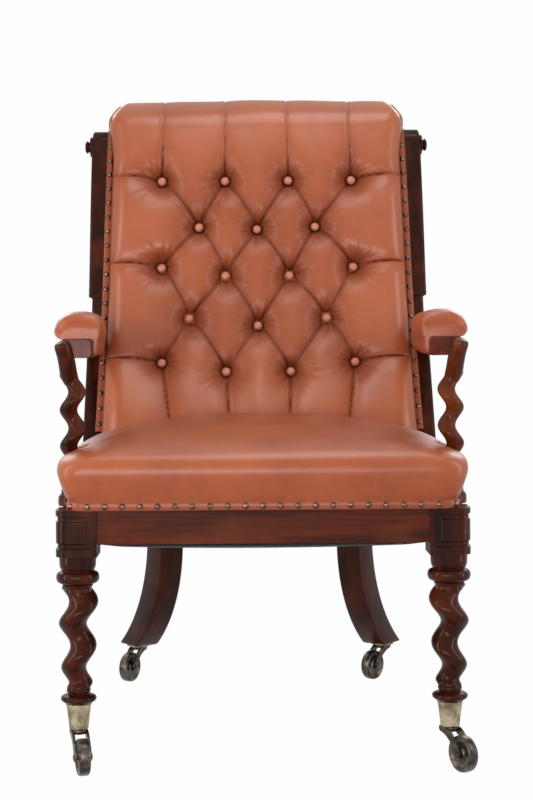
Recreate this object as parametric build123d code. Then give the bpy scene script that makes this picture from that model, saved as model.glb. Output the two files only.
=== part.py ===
from build123d import *
import math
import os

# Open-arm library chair with a scrolled, deep-buttoned leather back, a sprung seat, barley-twist front legs
# and arm supports, sabre rear legs and four swivelling castors. Millimetres, +Z up, the sitter faces -Y.
# "left" is -X, the left-hand side for someone who stands in front of the chair.
os.makedirs("parts", exist_ok=True)

# Seat frame
leg_spacing = 532.0
leg_block_width = 60.0
leg_block_drop = 18.0
frame_top = 374.0
rail_height = 48.0
rail_thickness = 28.0
front_rail_setback = 4.0
side_rail_setback = 6.0
side_rail_length = 410.0
bow_depth = 145.0
corner_block_reach = 70.0
corner_block_height = 34.0
block_corner_radius = 20.0
panel_recess = 2.5
panel_frame_width = 9.0
panel_top_margin = 9.0
panel_bottom_margin = 12.0

# Front legs, from the block down to the castor cup
leg_head_height = 49.0
leg_foot_height = 23.0
leg_turned_radius = 31.0
leg_strand_top_radius = 21.4
leg_strand_bottom_radius = 17.2
leg_twist_pitch = 63.0
leg_twist_outer_height = 209.5
foot_ring_radius = 25.5
twist_offset_share = 0.38
leg_sides = 12
rings_per_turn = 9
turned_sides = 20

# (radius, height) of the turned head and foot, as shares of their radius and height
leg_head_shares = [
    (0.855, 1.0),
    (0.81, 0.62),
    (0.76, 0.57),
    (0.86, 0.54),
    (0.98, 0.44),
    (0.98, 0.26),
    (0.86, 0.16),
    (0.60, 0.12),
    (0.60, 0.0),
]
leg_foot_shares = [
    (0.61, 1.0),
    (0.61, 0.80),
    (0.72, 0.62),
    (0.92, 0.50),
    (1.0, 0.36),
    (1.0, 0.14),
    (0.92, 0.0),
]

# Castors
wheel_radius = 26.0
wheel_width = 16.0
wheel_chamfer = 2.5
wheel_sides = 32
castor_trail = 30.0
castor_height_over_wheel = 8.0
cup_height = 36.0
cup_top_radius = 18.3
cup_bottom_radius = 13.4
cup_wall = 1.8
cup_floor = 5.0
plate_radius = 21.0
plate_thickness = 3.0
pin_radius = 4.0
pin_head_radius = 7.0
pin_head_thickness = 2.5
axle_radius = 3.0
axle_overhang = 1.0
cheek_thickness = 3.5
cheek_clearance = 0.6
cheek_end_width = 12.0
cheek_root_width = 22.0
horn_disc_radius = 12.5
horn_disc_thickness = 6.5
horn_sides = 12
running_clearance = 0.06
seat_clearance = 0.3
socket_clearance = 3.0
front_heading_left = 15.5
front_heading_right = 30.0
rear_heading_left = -28.0
rear_heading_right = -40.0

# Rear legs
rear_leg_angle = 35.4
rear_leg_inset = 98.0
rear_leg_reach = 108.0
rear_leg_width = 46.0
rear_leg_top_depth = 50.0
rear_leg_foot_depth = 58.0
sabre_height = 200.0
sabre_radius = 262.0

# Arm supports
support_outset = 11.0
support_y = 52.0
support_base_radius = 22.0
support_base_height = 28.0
support_height = 196.0
support_strand_radius = 13.0
support_twist_pitch = 53.0
support_twist_outer_height = 513.0
support_sides = 12
support_offset_share = 0.48
support_neck_radius = 12.5
support_neck_height = 8.0
support_base_shares = [
    (0.80, 1.0),
    (0.80, 0.64),
    (0.90, 0.56),
    (1.0, 0.40),
    (1.0, 0.16),
    (0.92, 0.0),
]

# Arms
arm_thickness = 35.0
arm_rise = 20.0
arm_nose_reach = 30.0
arm_front_inset = 8.0
arm_front_width = 46.0
arm_rear_margin = 0.5
arm_rear_width = 20.0
arm_joint_half = 12.5
arm_steps = 8
arm_nose_share = 0.25
arm_hollow_depth_share = 0.33
arm_hollow_drop_share = 0.17
arm_pad_width = 74.0
arm_pad_height = 34.0
arm_pad_setback = 14.0
arm_pad_back_gap = 22.0
arm_pad_side_bulge = 6.0
arm_pad_waist_share = 0.42
arm_pad_shoulder_share = 0.82
arm_pad_shares = [
    (0.0, 0.66, 0.42),
    (0.015, 0.84, 0.72),
    (0.04, 0.95, 0.92),
    (0.09, 1.0, 1.0),
    (0.3, 0.98, 1.0),
    (0.5, 0.92, 1.0),
    (0.7, 0.83, 1.0),
    (0.9, 0.68, 0.96),
    (0.97, 0.60, 0.85),
    (1.0, 0.52, 0.55),
]

# Back
post_width = 42.0
post_depth = 42.0
post_top_round = 16.0
post_setback = 20.0
back_bend_reach = 105.0
back_bend_rise = 186.0
back_waist_reach = 78.0
back_waist_rise = 200.0
back_scroll_reach = 75.0
back_scroll_rise = 244.0
boss_drop = 29.0
boss_disc_radius = 18.5
boss_reach = 14.0
boss_shares = [
    (0.12, 1.0),
    (0.34, 0.94),
    (0.60, 0.70),
    (0.60, 0.52),
    (0.50, 0.40),
    (1.0, 0.28),
    (1.0, 0.0),
]
back_rail_depth = 27.0
edge_splay = 9.0
top_rail_height = 54.0
bottom_rail_rise = 26.0
bottom_rail_height = 50.0
lining_thickness = 1.5
outside_back_thickness = 2.5
skirt_rise = 160.0
skirt_steps = 10
skirt_level_shares = [0.0, 0.22, 0.36, 0.46, 0.54, 0.62, 0.70, 0.78, 0.86, 0.93, 1.0]
skirt_round_share = 0.6

# Back cushion: rows of buttons from the top down, how far the outer buttons lie below the top of the posts
# and how far the middle ones sag
cushion_side_gap = 0.5
cushion_top_overhang = 11.5
cushion_top_rise = 56.0
cushion_foot_rise = 58.0
cushion_flare_gap = 2.0
cushion_flare_rise = 3.0
cushion_base_gap = 0.8
cushion_top_back_reach = 34.0
button_row_drops = [100.0, 186.0, 260.0, 352.0, 430.0]
button_row_sags = [0.0, 4.0, 17.0, 13.0, 18.0]
button_outer_x = [172.4, 104.8, 171.9, 122.3, 170.0]
button_counts = [4, 3, 4, 3, 4]
button_radius = 8.0
button_dimple_share = 0.11
button_pocket_width = 28.0
button_thickness = 7.0
button_depth = 9.0
seam_width = 3.0
seam_depth = 27.0
edge_depth = 16.0
crown_height = 38.0
crown_power_share = 1.3
seam_power_share = 0.7
side_power_share = 0.6
scallop_steps = 3
button_sides = 12
button_top_share = 0.6
span_level_shares = [0.0, button_dimple_share, 0.37, 0.63, 1 - button_dimple_share]

# top roll of the cushion, as (rise, width, depth, how far back, crown) shares
cushion_roll_depth = 29.0
cushion_roll_shares = [
    (1.0, 0.86, 0.14, 0.40, 0.10),
    (0.90, 0.94, 0.55, 0.70, 0.18),
    (0.66, 0.985, 0.86, 0.92, 0.26),
    (0.33, 1.0, 1.0, 1.0, 0.32),
    (0.0, 1.0, 1.0, 1.0, 0.36),
]
cushion_neck_crown_share = 0.36
cushion_neck_level_shares = [0.0, 0.3, 0.6, 0.91]
cushion_foot_level_shares = [0.0, 0.065, 0.3, 0.65, 1.0]
cushion_foot_gather_share = 0.08
cushion_foot_flat_share = 0.7

# Seat cushion, each level as (height, half width, front, back) shares of its crown, width, nose and crown
seat_base_inset = 11.0
seat_crown = 120.0
seat_front_y = 30.0
seat_back_margin = 46.0
seat_corner_radius = 26.0
seat_corner_steps = 5
seat_corner_share = 0.62
seat_shares = [
    (0.0, 1.0, 1.0, 0.0),
    (0.105, 1.0, 1.0, 0.0),
    (0.17, 1.03, 1.17, 0.0),
    (0.31, 1.048, 1.30, 0.0),
    (0.48, 1.052, 1.34, 0.0),
    (0.58, 1.044, 1.25, 0.0),
    (0.64, 1.012, 0.98, 0.0),
    (0.70, 0.955, 0.55, 0.0),
    (0.77, 0.865, -0.10, 0.03),
    (0.85, 0.735, -1.10, 0.12),
    (0.93, 0.545, -2.60, 0.34),
    (0.98, 0.35, -4.10, 0.62),
    (1.0, 0.20, -5.10, 0.85),
]
seat_notch_clearance = 2.0
spring_well_margin = 47.0
spring_well_front = 25.0
spring_well_back_gap = 60.0
spring_well_depth = 58.0

# Springs and webbing
spring_wire = 3.6
spring_end_radius = 34.0
spring_waist_radius = 23.0
spring_turns = 3
spring_sides = 4
spring_steps = 6
spring_spacing_x = 130.0
spring_spacing_y = 112.0
spring_centre_y = 192.0
web_width = 50.0
web_thickness = 1.5
web_rise = 3.0
cover_thickness = 1.2
cover_sag = 6.0
cover_steps = 6
cover_straight_shares = [(0.0, 0.55), (0.4, 1.0), (1.0, 1.0)]
cover_bow_shares = [0.2, 0.4, 0.6, 0.78, 0.92]
cover_margin = 6.0

# Banding and nails
banding_width = 12.0
banding_thickness = 2.0
front_nail_count = 23
front_nail_span = 548.0
back_nail_count = 21
back_nail_low_rise = 96.0
back_nail_top_margin = 6.0
nail_radius = 4.7
nail_height = 3.0
nail_sides = 8
nail_top_share = 0.5
cut_overrun = 5.0
flat_tolerance = 0.000001

chamfer_angle = 45.0

# Places that follow from those sizes, so that what is carried moves with what carries it
sides = {"left": -1, "right": 1}
leg_x = leg_spacing / 2
block_half = leg_block_width / 2
frame_bottom = frame_top - rail_height
leg_block_bottom = frame_bottom - leg_block_drop
panel_top = frame_top - panel_top_margin
panel_bottom = leg_block_bottom + panel_bottom_margin
wheel_centre_height = wheel_radius * math.cos(math.pi / wheel_sides)
cup_bottom = 2 * wheel_radius + castor_height_over_wheel
cup_top = cup_bottom + cup_height
twist_top = leg_block_bottom - leg_head_height
twist_bottom = cup_top + leg_foot_height
side_rail_outer = leg_x + block_half - side_rail_setback
side_rail_end = block_half + side_rail_length
rear_leg_x = leg_x - rear_leg_inset
rear_leg_y = side_rail_end + rear_leg_reach
support_x = leg_x + support_outset
support_top = frame_top + support_height
arm_bottom = support_top + arm_rise
arm_top = arm_bottom + arm_thickness
arm_front_y = support_y - arm_nose_reach
arm_front_x = support_x - arm_front_inset
arm_pad_front_y = support_y + arm_pad_setback
post_inner = side_rail_outer - rail_thickness
post_outer = post_inner + post_width
arm_rear_x = post_outer - arm_rear_width / 2 - arm_rear_margin
back_bottom_y = side_rail_end - post_setback
back_bend_y = back_bottom_y + back_bend_reach
back_bend_height = frame_top + back_bend_rise
back_waist_y = back_bend_y + back_waist_reach
back_waist_height = back_bend_height + back_waist_rise
back_top_y = back_waist_y + back_scroll_reach
post_top = back_waist_height + back_scroll_rise
boss_height = post_top - boss_drop
bottom_rail_bottom = frame_top + bottom_rail_rise
skirt_top = back_bend_height + skirt_rise
cushion_half_width = post_inner - cushion_side_gap
cushion_top_half_width = cushion_half_width + cushion_top_overhang
cushion_top = post_top + cushion_top_rise
cushion_bottom = frame_top + cushion_foot_rise
cushion_flare = post_top + cushion_flare_gap
cushion_top_back_y = back_top_y + cushion_top_back_reach
seat_base_half_width = side_rail_outer - seat_base_inset
spring_well_x = post_inner - spring_well_margin
spring_well_back = back_bottom_y - spring_well_back_gap
spring_well_top = frame_top + spring_well_depth
web_bottom = frame_bottom + web_rise
back_nail_low = frame_top + back_nail_low_rise
back_nail_high = post_top - back_nail_top_margin


# Helpers
def block(x_low, x_high, y_low, y_high, z_low, z_high):
    corner = (Align.MIN, Align.MIN, Align.MIN)
    x_low, x_high = min(x_low, x_high), max(x_low, x_high)
    return Pos(x_low, y_low, z_low) * Box(x_high - x_low, y_high - y_low, z_high - z_low, align=corner)


def faceted(radius, count, height, taper=0.0):
    # a short many-sided prism on the floor plane, which tapers by an angle
    return extrude(RegularPolygon(radius, count), amount=height, taper=taper)


def skin(rings):
    # a closed solid of flat facets through rings of as many points, with flat ends
    faces = [Face(Wire.make_polygon(rings[0], close=True)), Face(Wire.make_polygon(rings[-1], close=True))]
    for low, high in zip(rings, rings[1:]):
        for k in range(len(low)):
            a, b, c, d = low[k - 1], low[k], high[k], high[k - 1]
            warp = abs((b - a).cross(d - a).dot(c - a))
            area = (b - a).cross(d - a).length
            if warp < area * flat_tolerance:
                faces.append(Face(Wire.make_polygon([a, b, c, d], close=True)))
            else:
                faces.append(Face(Wire.make_polygon([a, b, c], close=True)))
                faces.append(Face(Wire.make_polygon([a, c, d], close=True)))
    return Solid(Shell(faces))


def turned(shares, radius, z_low, height):
    # a lathe-turned solid about Z from (radius, height) shares, top to bottom, as flat facets
    rings = []
    for across, up in reversed(shares):
        ring = []
        for k in range(turned_sides):
            angle = 2 * math.pi * k / turned_sides
            out = radius * across
            ring.append(Vector(out * math.cos(angle), out * math.sin(angle), z_low + height * up))
        rings.append(ring)
    return skin(rings)


def tapered(low_radius, high_radius, z_low, z_high):
    # a plain taper about Z, with as many facets as a turned piece
    return turned([(high_radius, z_high), (low_radius, z_low)], 1, 0, 1)


def one(shape):
    # a fused shape as its solids alone
    solids = shape.solids()
    return solids[0] if len(solids) == 1 else Compound(solids)


def barley_twist(z_low, z_high, radius_low, radius_high, offset_share, pitch, z_outer, side, count):
    # a single-bine twist: a round strand whose centre circles the axis as it climbs
    steps = math.ceil((z_high - z_low) / pitch * rings_per_turn)
    rings = []
    for i in range(steps + 1):
        share = i / steps
        z = z_low + (z_high - z_low) * share
        radius = radius_low + (radius_high - radius_low) * share
        turn = 2 * math.pi * (z - z_outer) / pitch
        x = side * radius * offset_share * math.cos(turn)
        y = -radius * offset_share * math.sin(turn)
        ring = []
        for k in range(count):
            angle = 2 * math.pi * k / count
            ring.append(Vector(x + radius * math.cos(angle), y + radius * math.sin(angle), z))
        rings.append(ring)
    return skin(rings)


def curve_of_back():
    # the front of the back posts, seen from the side: a straight foot, a hollow bend and a scroll to the rear
    foot = Line((0, back_bottom_y, frame_top), (0, back_bend_y, back_bend_height))
    bend = TangentArc(foot @ 1, (0, back_waist_y, back_waist_height), tangent=foot % 1)
    scroll = TangentArc(bend @ 1, (0, back_top_y, post_top), tangent=bend % 1)
    return [foot, bend, scroll]


back_curve = curve_of_back()


def back_y(z):
    # depth of the front face of the back posts at height z; the curve runs straight up past its ends
    for part in back_curve:
        if (part @ 1).Z > z:
            low, high = 0.0, 1.0
            for _ in range(30):
                middle = (low + high) / 2
                if (part @ middle).Z < z:
                    low = middle
                else:
                    high = middle
            return (part @ low).Y
    return back_top_y


def back_slab(x_low, x_high, y_front, y_back, z_low, z_high):
    # a slab that follows the curve of the back, between two depths behind that curve
    front = [part.edge().moved(Location((0, y_front, 0))) for part in back_curve]
    back = [part.edge().moved(Location((0, y_back, 0))) for part in back_curve]
    ends = [Line(front[-1] @ 1, back[-1] @ 1), Line(back[0] @ 0, front[0] @ 0)]
    face = Face(Wire(front + back + ends))
    width = abs(x_high - x_low)
    slab = Pos(min(x_low, x_high), 0, 0) * extrude(face, amount=width, dir=(1, 0, 0))
    if z_low > frame_top or z_high < post_top:
        depth_low = back_bottom_y + min(y_front, 0) - post_depth
        depth_high = back_top_y + post_depth + y_back
        slab = slab & block(x_low, x_high, depth_low, depth_high, z_low, z_high)
    return slab


def splay(z):
    # how much wider the upholstered part of the back is at height z than at its top
    return edge_splay * (post_top - min(z, post_top)) / (post_top - back_nail_low)


# Seat frame
def seat_plan(inset, z_low, z_high):
    # the D-shaped plan of the seat frame, drawn in by inset all round
    outer = side_rail_outer - inset
    front = -block_half + front_rail_setback + inset
    back = side_rail_end
    bow = Pos(0, back, 0) * Ellipse(outer, bow_depth - inset)
    straight = Pos(0, (front + back) / 2, 0) * Rectangle(2 * outer, back - front)
    half = Pos(0, back + bow_depth / 2, 0) * Rectangle(2 * side_rail_outer, bow_depth)
    return Pos(0, 0, z_low) * extrude(straight + (bow & half), amount=z_high - z_low)


def front_rail():
    front = -block_half + front_rail_setback
    reach = leg_x - block_half
    return block(-reach, reach, front, front + rail_thickness, frame_bottom, frame_top)


def side_rail(side):
    inner = side_rail_outer - rail_thickness
    return block(side * inner, side * side_rail_outer, block_half, side_rail_end, frame_bottom, frame_top)


def rear_rail():
    start = side_rail_end
    ring = seat_plan(0, frame_bottom, frame_top) - seat_plan(rail_thickness, frame_bottom, frame_top)
    return ring & block(-side_rail_outer, side_rail_outer, start, start + bow_depth, frame_bottom, frame_top)


def corner_block(side):
    # a three-cornered glue block behind the front rail and inside the side rail
    corner_x = side * (side_rail_outer - rail_thickness)
    corner_y = block_half
    reach = corner_block_reach
    front = -block_half + front_rail_setback + rail_thickness
    inner_x = side * (leg_x - block_half)
    points = [
        (inner_x, front),
        (corner_x - side * reach, front),
        (corner_x, corner_y + reach),
        (corner_x, corner_y),
        (inner_x, corner_y),
    ]
    face = make_face(Polyline(*points, close=True))
    return Pos(0, 0, frame_top - corner_block_height) * extrude(face, amount=corner_block_height)


def leg_block(side):
    # the square head of a front leg, its outer front corner rounded, with a sunk frame round a raised panel
    def squared(inset, z_low, z_high):
        face = Rectangle(leg_block_width - 2 * inset, leg_block_width - 2 * inset)
        corner = face.vertices().sort_by(Axis.Y)[:2].sort_by(Axis.X)[0 if side < 0 else -1]
        return Pos(0, 0, z_low) * extrude(fillet(corner, block_corner_radius - inset), amount=z_high - z_low)

    def window(inset):
        # the part of the block's two show faces that lies inside the frame
        z_low, z_high = panel_bottom + inset, panel_top - inset
        limit = block_half - panel_frame_width - inset
        x_far = side * (block_half + cut_overrun)
        return block(-side * limit, x_far, -block_half - cut_overrun, limit, z_low, z_high)

    whole = squared(0, leg_block_bottom, frame_top)
    ring = squared(0, panel_bottom, panel_top) - squared(panel_recess, panel_bottom, panel_top)
    shape = whole - ((ring & window(0)) - window(panel_frame_width))
    return Pos(side * leg_x, 0, 0) * shape


def front_leg(side):
    head = turned(leg_head_shares, leg_turned_radius, twist_top, leg_block_bottom - twist_top)
    twist = barley_twist(
        twist_bottom, twist_top, leg_strand_bottom_radius, leg_strand_top_radius, twist_offset_share,
        leg_twist_pitch, leg_twist_outer_height, side, leg_sides,
    )
    foot = turned(leg_foot_shares, foot_ring_radius, cup_top, twist_bottom - cup_top)
    spigot_bottom = cup_bottom + cup_floor + pin_head_thickness + socket_clearance
    slope = (cup_top_radius - cup_bottom_radius) / (cup_top - cup_bottom)
    spigot_top_radius = cup_top_radius - cup_wall - running_clearance
    spigot_end_radius = spigot_top_radius - slope * (cup_top - spigot_bottom)
    spigot = tapered(spigot_end_radius, spigot_top_radius, spigot_bottom, cup_top)
    stem = Pos(side * leg_x, 0, 0) * (head + twist + foot + spigot)
    return one(leg_block(side) + stem)


# Rear legs
def rear_leg_post(side, margin):
    # the upright head of a rear leg, before it is slotted over the bowed rail
    bottom = cup_bottom + plate_thickness + sabre_height
    head = Rectangle(rear_leg_width + 2 * margin, rear_leg_top_depth + 2 * margin)
    post = Pos(0, 0, bottom) * extrude(head, amount=frame_top - bottom)
    return Pos(side * rear_leg_x, rear_leg_y, 0) * Rot(0, 0, -side * rear_leg_angle) * post


def rear_leg(side):
    foot = cup_bottom + plate_thickness
    top = foot + sabre_height
    kick = sabre_radius - math.sqrt(sabre_radius ** 2 - sabre_height ** 2)
    half_top, half_foot = rear_leg_top_depth / 2, rear_leg_foot_depth / 2
    half_angle = math.asin(sabre_height / sabre_radius) / 2
    bow_y = sabre_radius * (1 - math.cos(half_angle))
    bow_z = top - sabre_radius * math.sin(half_angle)
    half_middle = (half_top + half_foot) / 2
    edges = [
        Line((-half_top, top), (half_top, top)),
        ThreePointArc((half_top, top), (bow_y + half_middle, bow_z), (kick + half_foot, foot)),
        Line((kick + half_foot, foot), (kick - half_foot, foot)),
        ThreePointArc((kick - half_foot, foot), (bow_y - half_middle, bow_z), (-half_top, top)),
    ]
    half_width = rear_leg_width / 2
    sabre = Pos(-half_width, 0, 0) * extrude(Plane.YZ * make_face(edges), amount=rear_leg_width)
    sabre = Pos(side * rear_leg_x, rear_leg_y, 0) * Rot(0, 0, -side * rear_leg_angle) * sabre
    x, y = rear_foot_centre(side)
    socket = Pos(x, y, foot) * Cylinder(
        pin_head_radius + cup_wall, pin_head_thickness + socket_clearance,
        align=(Align.CENTER, Align.CENTER, Align.MIN),
    )
    return one(rear_leg_post(side, 0) + sabre - socket - rear_rail())


def rear_foot_centre(side):
    kick = sabre_radius - math.sqrt(sabre_radius ** 2 - sabre_height ** 2)
    turn = math.radians(rear_leg_angle)
    return side * (rear_leg_x + kick * math.sin(turn)), rear_leg_y + kick * math.cos(turn)


# Castors: each has a fixed cup or plate, a forked horn that swivels in it, a wheel and its axle
def castor_cup():
    align = (Align.CENTER, Align.CENTER, Align.MIN)
    shell = tapered(cup_bottom_radius, cup_top_radius, cup_bottom, cup_top)
    slope = (cup_top_radius - cup_bottom_radius) / (cup_top - cup_bottom)
    inner_low = cup_bottom_radius - cup_wall + slope * cup_floor
    hollow = tapered(inner_low, cup_top_radius - cup_wall, cup_bottom + cup_floor, cup_top)
    hole = Pos(0, 0, cup_bottom) * Cylinder(pin_radius + running_clearance, cup_floor, align=align)
    return shell - hollow - hole


def castor_plate():
    align = (Align.CENTER, Align.CENTER, Align.MIN)
    plate = faceted(plate_radius, turned_sides, plate_thickness)
    hole = Cylinder(pin_radius + running_clearance, plate_thickness, align=align)
    return Pos(0, 0, cup_bottom) * (plate - hole)


def castor_horn(floor):
    # floor is the thickness that the swivel pin passes through before its riveted head
    disc_top = cup_bottom - seat_clearance
    disc_bottom = disc_top - horn_disc_thickness
    disc = Pos(0, 0, disc_bottom) * faceted(horn_disc_radius, horn_sides, horn_disc_thickness)
    pin_length = seat_clearance + floor + seat_clearance
    pin = Pos(0, 0, disc_top) * Cylinder(pin_radius, pin_length, align=(Align.CENTER, Align.CENTER, Align.MIN))
    head = Pos(0, 0, disc_top + pin_length) * faceted(pin_head_radius, horn_sides, pin_head_thickness)
    horn = disc + pin + head
    axle_z = wheel_centre_height
    half_end, half_root = cheek_end_width / 2, cheek_root_width / 2
    points = [
        (half_root - cheek_end_width / 4, disc_top),
        (-half_root, disc_top),
        (-castor_trail - half_end / 2, axle_z + half_end),
        (-castor_trail - half_end, axle_z),
        (-castor_trail - half_end / 2, axle_z - half_end),
        (-castor_trail + half_end / 2, axle_z - half_end),
        (half_root - cheek_end_width / 4, disc_bottom),
    ]
    hole = Pos(-castor_trail, axle_z) * Circle(axle_radius + running_clearance)
    cheek = make_face(Polyline(*points, close=True)) - hole
    inner = wheel_width / 2 + cheek_clearance
    for start in (inner, -inner - cheek_thickness):
        horn = horn + Pos(start, 0, 0) * extrude(Plane.YZ * cheek, amount=cheek_thickness)
    return one(horn)


def castor_wheel():
    # a brass wheel with chamfered edges, one of its flats on the floor
    middle = wheel_width - 2 * wheel_chamfer
    rim = faceted(wheel_radius, wheel_sides, middle / 2)
    edge = Pos(0, 0, middle / 2) * faceted(wheel_radius, wheel_sides, wheel_chamfer, taper=chamfer_angle)
    half = rim + edge
    bore = Cylinder(axle_radius + running_clearance, wheel_width)
    wheel = half + mirror(half, Plane.XY) - bore
    flat_down = Rot(0, 0, chamfer_angle * 4 / wheel_sides)
    return Pos(0, -castor_trail, wheel_centre_height) * Rot(0, 90, 0) * flat_down * wheel


def castor_axle():
    half = wheel_width / 2 + cheek_clearance + cheek_thickness + axle_overhang
    return Pos(0, -castor_trail, wheel_centre_height) * Rot(0, 90, 0) * Cylinder(axle_radius, 2 * half)


# Arms
def arm_support(side):
    base = turned(support_base_shares, support_base_radius, frame_top, support_base_height)
    twist = barley_twist(
        frame_top + support_base_height, support_top - support_neck_height, support_strand_radius,
        support_strand_radius, support_offset_share, support_twist_pitch, support_twist_outer_height, side,
        support_sides,
    )
    neck = tapered(support_neck_radius, support_neck_radius, support_top - support_neck_height, support_top)
    return Pos(side * support_x, support_y, 0) * one(base + twist + neck)


def arm_back_y():
    return back_y((arm_top + arm_bottom) / 2)


def arm_plan(y):
    # the arm's middle line and width at depth y: it runs outwards and narrows until it ends on the post
    share = min(1, max(0, (y - support_y) / (arm_back_y() - support_y)))
    centre = arm_front_x + (arm_rear_x - arm_front_x) * share
    width = arm_front_width + (arm_rear_width - arm_front_width) * share * share
    return centre, width


def arm(side):
    # side outline, cut to the plan and front outlines: a level arm that scrolls down onto its support
    depth = arm_top - arm_bottom
    back = arm_back_y() + post_depth
    nose = arm_front_y
    joint_front, joint_back = support_y - arm_joint_half, support_y + arm_joint_half
    edges = [
        Line((back, arm_bottom), (back, arm_top)),
        Line((back, arm_top), (support_y, arm_top)),
        ThreePointArc(
            (support_y, arm_top), (nose, arm_bottom + depth * arm_nose_share), (joint_front, support_top)
        ),
        Line((joint_front, support_top), (joint_back, support_top)),
        ThreePointArc(
            (joint_back, support_top),
            (joint_back + depth * arm_hollow_depth_share, arm_bottom - depth * arm_hollow_drop_share),
            (joint_back + depth, arm_bottom),
        ),
        Line((joint_back + depth, arm_bottom), (back, arm_bottom)),
    ]
    reach = 2 * side_rail_outer
    side_view = Pos(-reach, 0, 0) * extrude(Plane.YZ * make_face(edges), amount=2 * reach)
    inner, outer = [], []
    for y in [nose - depth] + [support_y + (back - support_y) * k / arm_steps for k in range(arm_steps + 1)]:
        centre, width = arm_plan(y)
        inner.append((side * (centre - width / 2), y))
        outer.append((side * (centre + width / 2), y))
    plan_face = make_face(Polyline(*inner, *reversed(outer), close=True))
    plan = Pos(0, 0, support_top) * extrude(plan_face, amount=arm_top - support_top, dir=(0, 0, 1))
    shape = side_view & plan
    # below the level arm the scroll narrows to the width of the support
    neck = support_neck_radius
    inner_far, outer_far = arm_front_x - arm_front_width, arm_front_x + arm_front_width
    for edge_x, far_x in ((support_x - neck, inner_far), (support_x + neck, outer_far)):
        low = block(
            side * edge_x, side * far_x, nose - depth, joint_back + depth,
            support_top - cut_overrun, arm_bottom - depth * arm_nose_share,
        )
        shape = shape - low
    post = back_slab(side * inner_far, side * outer_far, 0, 2 * post_depth, frame_top, post_top)
    return one(shape - post)


def arm_pad(side):
    # domed pad lofted along the arm: flat below, drawn-in sides, rounded at both ends
    front, back = arm_pad_front_y, arm_back_y() - arm_pad_back_gap
    sections = []
    for along, wide, high in arm_pad_shares:
        y = front + (back - front) * along
        half, height = arm_pad_width / 2 * wide, arm_pad_height * high
        x = side * arm_plan(y)[0]
        low, waist = half - arm_pad_side_bulge * wide, arm_top + height * arm_pad_waist_share
        shoulder, shoulder_z = half * arm_pad_shoulder_share, arm_top + height * arm_pad_shoulder_share
        points = [
            (x - low, arm_top), (x + low, arm_top), (x + half, waist), (x + shoulder, shoulder_z),
            (x + shoulder / 2, arm_top + height), (x - shoulder / 2, arm_top + height),
            (x - shoulder, shoulder_z), (x - half, waist),
        ]
        sections.append([Vector(px, y, pz) for px, pz in points])
    return skin(sections)


# Back
def back_post(side):
    post = back_slab(side * post_inner, side * post_outer, 0, post_depth, frame_top, post_top)
    top_edges = post.edges().filter_by(Axis.X).sort_by(Axis.Z)[-2:]
    return one(fillet(top_edges, post_top_round))


def post_bosses():
    solids = []
    for side in sides.values():
        y = back_y(boss_height) + post_depth / 2
        boss = turned(boss_shares, boss_disc_radius, 0, boss_reach)
        solids += (Pos(side * post_outer, y, boss_height) * Rot(0, side * 90, 0) * boss).solids()
    return Compound(solids)


def back_rail(z_low, z_high):
    return back_slab(-post_inner, post_inner, lining_thickness, lining_thickness + back_rail_depth, z_low, z_high)


def back_lining():
    return back_slab(-post_inner, post_inner, 0, lining_thickness, bottom_rail_bottom, post_top)


def outside_back():
    # the outer cover: flat between the posts above, and drawn out below to meet the bowed seat rail
    front = lining_thickness + back_rail_depth
    bow_y = side_rail_end + bow_depth - rail_thickness / 2
    reach = bow_y - back_bottom_y - front
    sections = []
    for level in skirt_level_shares:
        z = post_top + (frame_top - post_top) * level
        fall = min(1, max(0, (skirt_top - z) / (skirt_top - frame_top)))
        ease = fall * fall * (3 - 2 * fall)
        bow_now = (bow_y - back_y(z) - front) * ease if reach > 0 else 0
        inner, outer = [], []
        for k in range(skirt_steps + 1):
            share = 2 * k / skirt_steps - 1
            y = back_y(z) + front + bow_now * max(0, 1 - share * share) ** skirt_round_share
            inner.append(Vector(post_inner * share, y, z))
            outer.append(Vector(post_inner * share, y + outside_back_thickness, z))
        sections.append(inner + outer[::-1])
    return skin(sections)


def button_places():
    # (x, height) of each row's buttons
    rows = []
    for drop, sag, outer, count in zip(button_row_drops, button_row_sags, button_outer_x, button_counts):
        row = []
        for k in range(count):
            share = 2 * k / (count - 1) - 1
            row.append((outer * share, post_top - drop - sag * (1 - share * share)))
        rows.append(row)
    return rows


def seam_breaks(level, blend):
    # places where the seams cross one level of the cushion: pairs (x, height, depth) from left to right.
    # level counts the rows from the top, blend is the share of the way down to the next row.
    rows = button_places()
    half = button_radius

    def pairs(index):
        row = rows[index]
        if len(row) == 4:
            return [(x + s * half, z) for x, z in row for s in (-1, 1)]
        outer = (cushion_half_width + abs(row[0][0])) / 2
        middle = [(x + s * half, z) for x, z in row for s in (-1, 1)]
        return [(-outer, row[0][1])] + middle + [(outer, row[-1][1])]

    upper, lower = pairs(level), pairs(level + 1)
    clear = button_dimple_share
    free = min(1, max(0, (blend - clear) / (1 - 2 * clear)))
    dip = button_depth + (seam_depth - button_depth) * math.sin(math.pi * free) ** seam_power_share
    found = []
    for k, ((x0, z0), (x1, z1)) in enumerate(zip(upper, lower)):
        depth = dip
        if k in (0, 7):
            swell = free if len(rows[level]) == 4 else 1 - free
            depth = button_depth + (crown_height - button_depth) * swell ** side_power_share
        found.append((x0 + (x1 - x0) * blend, z0 + (z1 - z0) * blend, depth))
    return found


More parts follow.
